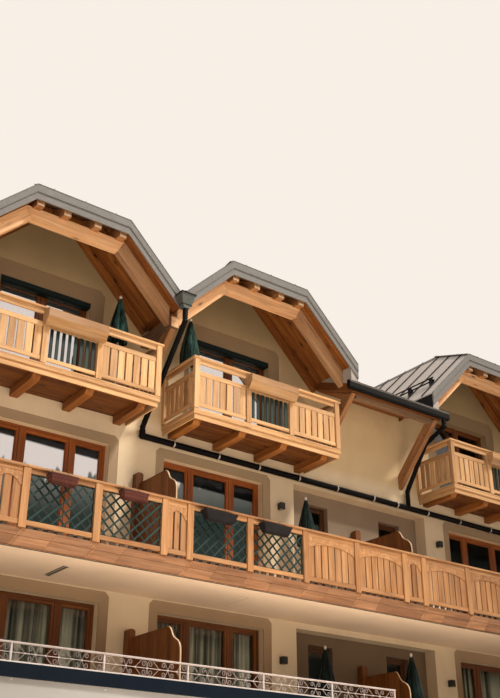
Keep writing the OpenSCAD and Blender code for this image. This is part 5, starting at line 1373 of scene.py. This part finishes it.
def planter(b, x, z, h, s, ribs, t_=170.0):
    y1 = LB_Y - 36

    def ring_at(t, inset, rim=0.0):
        """Rounded rectangle at height t (0 bottom, 1 top)."""
        ya, yb = y1 - 40 + 40 * t - inset + rim, y1 - 170 - 30 * t + inset - rim
        xa, xb = x - h + s * (1 - t) + inset - rim, x + h - s * (1 - t) - inset + rim
        r, pts = 34.0 if ribs else 22.0, []
        for cx, cy, a0 in ((xb - r, ya - r, 0), (xa + r, ya - r, 90), (xa + r, yb + r, 180), (xb - r, yb + r, 270)):
            for k in range(5):
                a = math.radians(a0 + 90 * k / 4)
                pts.append((cx + r * math.cos(a), cy + r * math.sin(a), z + t_ * t))
        return pts
    levels = [(0, 16, 0), (0.03, 7, 0), (0.09, 2, 0), (0.14, 0.5, 0), (0.80, 0.5, 0), (0.81, -2.0, 0), (0.86, -2.0, 0), (0.90, 0.5, 0), (0.96, -1.5, 0), (1.0, 0, 0), (1.0, 8, 0), (0.12, 8, 0)]
    rings = [ring_at(t, i) for t, i, _ in levels]
    m_ = len(rings[0])
    pts = [q for r_ in rings for q in r_]
    faces = [tuple(range(m_))] + [(i * m_ + k, i * m_ + (k + 1) % m_, (i + 1) * m_ + (k + 1) % m_, (i + 1) * m_ + k) for i in range(len(rings) - 1) for k in range(m_)]
    faces.append(tuple(range(len(pts) - 1, len(pts) - m_ - 1, -1)))
    b.member(pts, faces, (X, Y, Z))
    for k in (-1, 1):
        ph.tube([(x + k * h * 0.55, LB_Y + 60, LB_TOP - 18), (x + k * h * 0.55, LB_Y + 60, LB_TOP + 3.5), (x + k * h * 0.55, LB_Y - 38, LB_TOP + 3.5), (x + k * h * 0.55, y1 + 3, z + t_ - 30),
                 (x + k * h * 0.55, y1 - 35, z - 4), (x + k * h * 0.55, y1 - 150, z - 4)], 3.5, 6)
    if ribs:
        # basket relief: two bands of upright ribs round the front and the ends, with a plain band between
        for za, zb in ((0.17, 0.46), (0.54, 0.78)):
            n = int(2 * (h - 44) / 30)
            for k in range(n + 1):
                xr = x - (h - 44) + 2 * (h - 44) * k / n
                pr.bar((xr, y1 - 170 - 30 * za + 1.5, z + t_ * za), (xr, y1 - 170 - 30 * zb + 1.5, z + t_ * zb), 16.0, 9.0, upv=-Y, lift=0)
            for sx in (-1, 1):
                for k in range(4):
                    yr = y1 - 62 - k * 27
                    xe = x + sx * (h - s * (1 - za) - 1.5)
                    xf = x + sx * (h - s * (1 - zb) - 1.5)
                    pr.bar((xe, yr, z + t_ * za), (xf, yr, z + t_ * zb), 15.0, 8.0, upv=X * sx, lift=0)


for x in (-8223, -6915):
    planter(pb, x, 6925, 254, 25, True, 148.0)
for x, z, h, s in ((-5182, 6890, 352, 75), (-3940, 6890, 332, 65)):
    planter(pd, x, z, h, s, False)
pb.make("brown_planter_troughs", M["brownpl"], "brown_plastic", ["brown_planters"], smooth=True, angle=35)
pr.make("brown_planter_ribs", M["brownrib"], "brown_plastic", ["brown_planters"], bevel=1.5)
pd.make("dark_planter_troughs", M["darkpl"], "dark_plastic", ["dark_planters"], smooth=True, angle=35)
ph.make("planter_hooks", M["bolt"], "dark_plastic", smooth=True, angle=45)

# ------------------------------------------------------------------ cloth: curtains and folded parasols


def cloth_mesh(name, verts, quads, grain, mat, nodes_):
    me = bpy.data.meshes.new(name)
    me.from_pydata([tuple(v) for v in verts], [], quads)
    g = me.attributes.new("grain", "FLOAT_VECTOR", "POINT")
    g.data.foreach_set("vector", [c for p in grain for c in p])
    me.materials.append(mat)
    me.shade_smooth()
    o = bpy.data.objects.new(name, me)
    bpy.context.scene.collection.objects.link(o)
    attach(o, "root")
    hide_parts(*nodes_)
    return o


for ci, c in enumerate(TRI):
    rr = random.Random(100 + ci)
    xa, xb = c - WIN_W / 2 + 30, c + WIN_W / 2 - 30
    za, zb = FIRST + 30, FIRST + WIN_H - 2
    cols, rows = 420, 8
    # pleat phase runs a little unevenly; the pleats are tight at the head and loosen below
    ph_, amp = [0.0], []
    for k in range(cols):
        ph_.append(ph_[-1] + (1.0 + 0.42 * math.sin(k * 0.083 + ci) + 0.22 * math.sin(k * 0.23 + 2 * ci)))
    tot = ph_[-1]
    npl = 27
    verts, grain, widths = [], [], []
    for j in range(rows + 1):
        t = j / rows
        z = zb + (za - zb) * t
        row = []
        for k in range(cols + 1):
            u_ = k / cols
            a = ph_[k] / tot * npl * 2 * math.pi
            A = 15.5 + 6.0 * math.sin(k * 0.053 + ci * 2) + 2.0 * math.sin(t * 5 + k * 0.09)
            x = xa + (xb - xa) * u_ + 4.0 * math.sin(2 * a + 0.6) * t
            y = REVEAL + 140 + A * math.sin(a + 0.25 * math.sin(t * 3.0 + k * 0.02)) + 1.5 * math.sin(t * 9 + u_ * 7)
            row.append(Vector((x / 1000, y / 1000, z / 1000)))
        widths.append(sum((row[k + 1] - row[k]).length for k in range(cols)))
        s_ = 0.0
        for k in range(cols + 1):
            verts.append(row[k])
            grain.append((s_, 0.0, z / 1000))
            if k < cols:
                s_ += (row[k + 1] - row[k]).length
    quads = [(j * (cols + 1) + k, (j + 1) * (cols + 1) + k, (j + 1) * (cols + 1) + k + 1, j * (cols + 1) + k + 1) for j in range(rows) for k in range(cols)]
    cu = cloth_mesh("curtain_%d" % (ci + 1), verts, quads, grain, M["curtain"], ["curtains"])

PARASOLS = ((-6682, -530, ATTIC), (-5068, -593, ATTIC), (-1979, -420, SECOND), (258, -937, FIRST), (-1655, -505, FIRST))
ps = Builder(81)
for i, (x, y, z) in enumerate(PARASOLS):
    ps.lathe((x, y, z + 0.5), [(150, 0), (166, 3), (170, 10), (170, 34), (164, 44), (150, 51), (120, 54.5), (40, 55), (34, 58), (34, 206), (30, 210), (19, 210.5), (19, 2200), (19, 2201), (30, 2202), (31, 2210), (26, 2224), (14, 2240), (11, 2246), (9, 2249), (2, 2250)], 40)
    ps.tube([(x + 33, y, z + 178), (x + 62, y, z + 178)], 5, 8)
    ps.lathe((x + 66, y, z + 164), [(4, 0), (9, 3), (9, 25), (4, 28)], 12)
ps.make("parasol_poles", M["polemetal"], "parasol_metal", ["parasol_stands"], smooth=True, angle=35)
for i, (x, y, z) in enumerate(PARASOLS):
    rr = random.Random(200 + i)
    turn = rr.random() * 6.28
    rows, m_ = 44, 12
    verts, grain = [], []
    bulge = [0.85 + 0.3 * rr.random() for _ in range(8)]
    for j in range(rows + 1):
        s_ = 0.03 + 0.97 * (j / rows)
        row = []
        for k in range(8):
            r0, r1 = 20.0 + 4 * s_, (22.0 + 181.0 * (1 - (1 - min(1.0, s_ / 0.80)) ** 1.25)) * (0.95 + 0.05 * bulge[k])
            phi = 400.0 * s_ / (0.86 * r1 + 8.0)
            # the folds' outer edges run straight down; the cloth inside winds round the pole
            b0 = turn + k * math.pi / 4 + 0.10 * math.sin(1.3 * k) + 0.03 * math.sin(3 * s_ + k) - phi
            for a_, rev in ((0.0, False), (0.11, True)):
                for q in range(m_ + 1):
                    t = q / m_ if not rev else 1 - q / m_
                    r = r0 + (r1 - r0) * (1 - (1 - t) ** 2.2) * (0.86 + 0.14 * t)
                    th = b0 + a_ * (1 - t) + phi * t ** 1.15
                    # the hem sags between the ribs
                    hem = 26.0 * t * (s_ ** 6)
                    row.append(Vector(((x + r * math.cos(th)) / 1000, (y + r * math.sin(th)) / 1000, (z + 0.5 + 2200 - 1000 * s_ + hem * (1 if not rev else 0.6)) / 1000)))
        acc = 0.0
        for k, v in enumerate(row):
            verts.append(v)
            grain.append((acc, 0.0, s_))
            acc += (row[(k + 1) % len(row)] - v).length
    w_ = 8 * 2 * (m_ + 1)
    quads = [(j * w_ + k, (j + 1) * w_ + k, (j + 1) * w_ + (k + 1) % w_, j * w_ + (k + 1) % w_) for j in range(rows) for k in range(w_)]
    cn = cloth_mesh("parasol_cloth_%d" % (i + 1), verts, quads, grain, M["parasol"], ["parasol_canopies"])

# ------------------------------------------------------------------ light, world and floor
sc_ = bpy.context.scene
w = bpy.data.worlds.new("studio")
sc_.world = w
w.use_nodes = True
wn = w.node_tree
bg = wn.nodes["Background"]
dirn = nd(wn, "TexCoord").outputs["Generated"]
sp = nd(wn, "SeparateXYZ", link={"Vector": dirn})
# in front of the building: dark woods up to a ragged line, then bright sky; behind it: an even pale backdrop
jag = noise(wn, scaled(wn, dirn, (44.0, 44.0, 3.0)), 1.0, 3.0, 0.7)
hill = noise(wn, scaled(wn, dirn, (3.0, 3.0, 0.4)), 1.0, 2.0, 0.5)
line = calc(wn, "SUBTRACT", calc(wn, "SUBTRACT", sp.outputs[2], calc(wn, "MULTIPLY", jag, 0.085)), calc(wn, "MULTIPLY", hill, 0.07))
sky = ramp(wn, line, [(0.247, 0.0), (0.250, 1.0)])
woods = mix(wn, ramp(wn, sp.outputs[2], [(0.302, 0.0), (0.324, 1.0)]), (0.036, 0.050, 0.043), mix(wn, jag, (0.125, 0.13, 0.112), (0.20, 0.20, 0.172)))
front = mix(wn, sky, woods, (1.0, 0.90, 0.84))
ground = ramp(wn, sp.outputs[2], [(0.0, 1.0), (0.02, 0.0)])
front = mix(wn, ground, front, (0.40, 0.36, 0.30))
isfront = ramp(wn, calc(wn, "MULTIPLY", sp.outputs[1], -1.0), [(0.02, 0.0), (0.22, 1.0)])
wn.links.new(mix(wn, isfront, (0.94, 0.865, 0.79), front), bg.inputs[0])
wn.links.new(span(wn, calc(wn, "MULTIPLY", isfront, sky), 0.0, 1.0, 1.0, 0.96), bg.inputs[1])


def sun(name, towards, energy, angle, colour):
    l = bpy.data.lights.new(name, "SUN")
    l.energy, l.angle, l.color = energy, math.radians(angle), colour
    o = bpy.data.objects.new(name, l)
    o.rotation_euler = Vector(towards).to_track_quat("Z", "Y").to_euler()
    sc_.collection.objects.link(o)
    return o


sun("key", (0.32, -0.56, 0.77), 3.4, 9.0, (1.0, 0.93, 0.83))
# light thrown up by the bright ground at the front left
for nm, loc, aim, sz, en in (("bounce_near", (-4.2, -6.0, 0.3), (-0.0, -0.45, -1.0), (9.0, 3.5), 440.0), ("bounce_far", (-5.8, -12.0, 0.25), (0.05, -0.95, -0.85), (11.0, 5.0), 190.0)):
    al = bpy.data.lights.new(nm, "AREA")
    al.shape, al.size, al.size_y, al.energy, al.color = "RECTANGLE", sz[0], sz[1], en, (1.0, 0.84, 0.68)
    al.spread = math.radians(110 if nm == "bounce_near" else 84)
    ao = bpy.data.objects.new(nm, al)
    ao.location = loc
    ao.rotation_euler = Vector(aim).to_track_quat("Z", "Y").to_euler()
    ao.visible_camera = False
    ao.visible_glossy = False
    sc_.collection.objects.link(ao)
fm = bpy.data.meshes.new("studio_floor")
fm.from_pydata([(-400, -400, -0.002), (400, -400, -0.002), (400, 400, -0.002), (-400, 400, -0.002)], [], [(0, 1, 2, 3)])
mt, nt, b = new_mat("studio_floor")
nt.links.new(mix(nt, noise(nt, coord(nt), 0.15, 3.0, 0.5), (0.62, 0.56, 0.49), (0.66, 0.60, 0.53)), b.inputs["Base Color"])
b.inputs["Roughness"].default_value = 0.95
fm.materials.append(mt)
fo = bpy.data.objects.new("studio_floor", fm)
sc_.collection.objects.link(fo)
sc_.view_settings.view_transform = "Standard"
sc_.view_settings.look = "None"
sc_.view_settings.exposure = 0.0
sc_.view_settings.gamma = 1.0
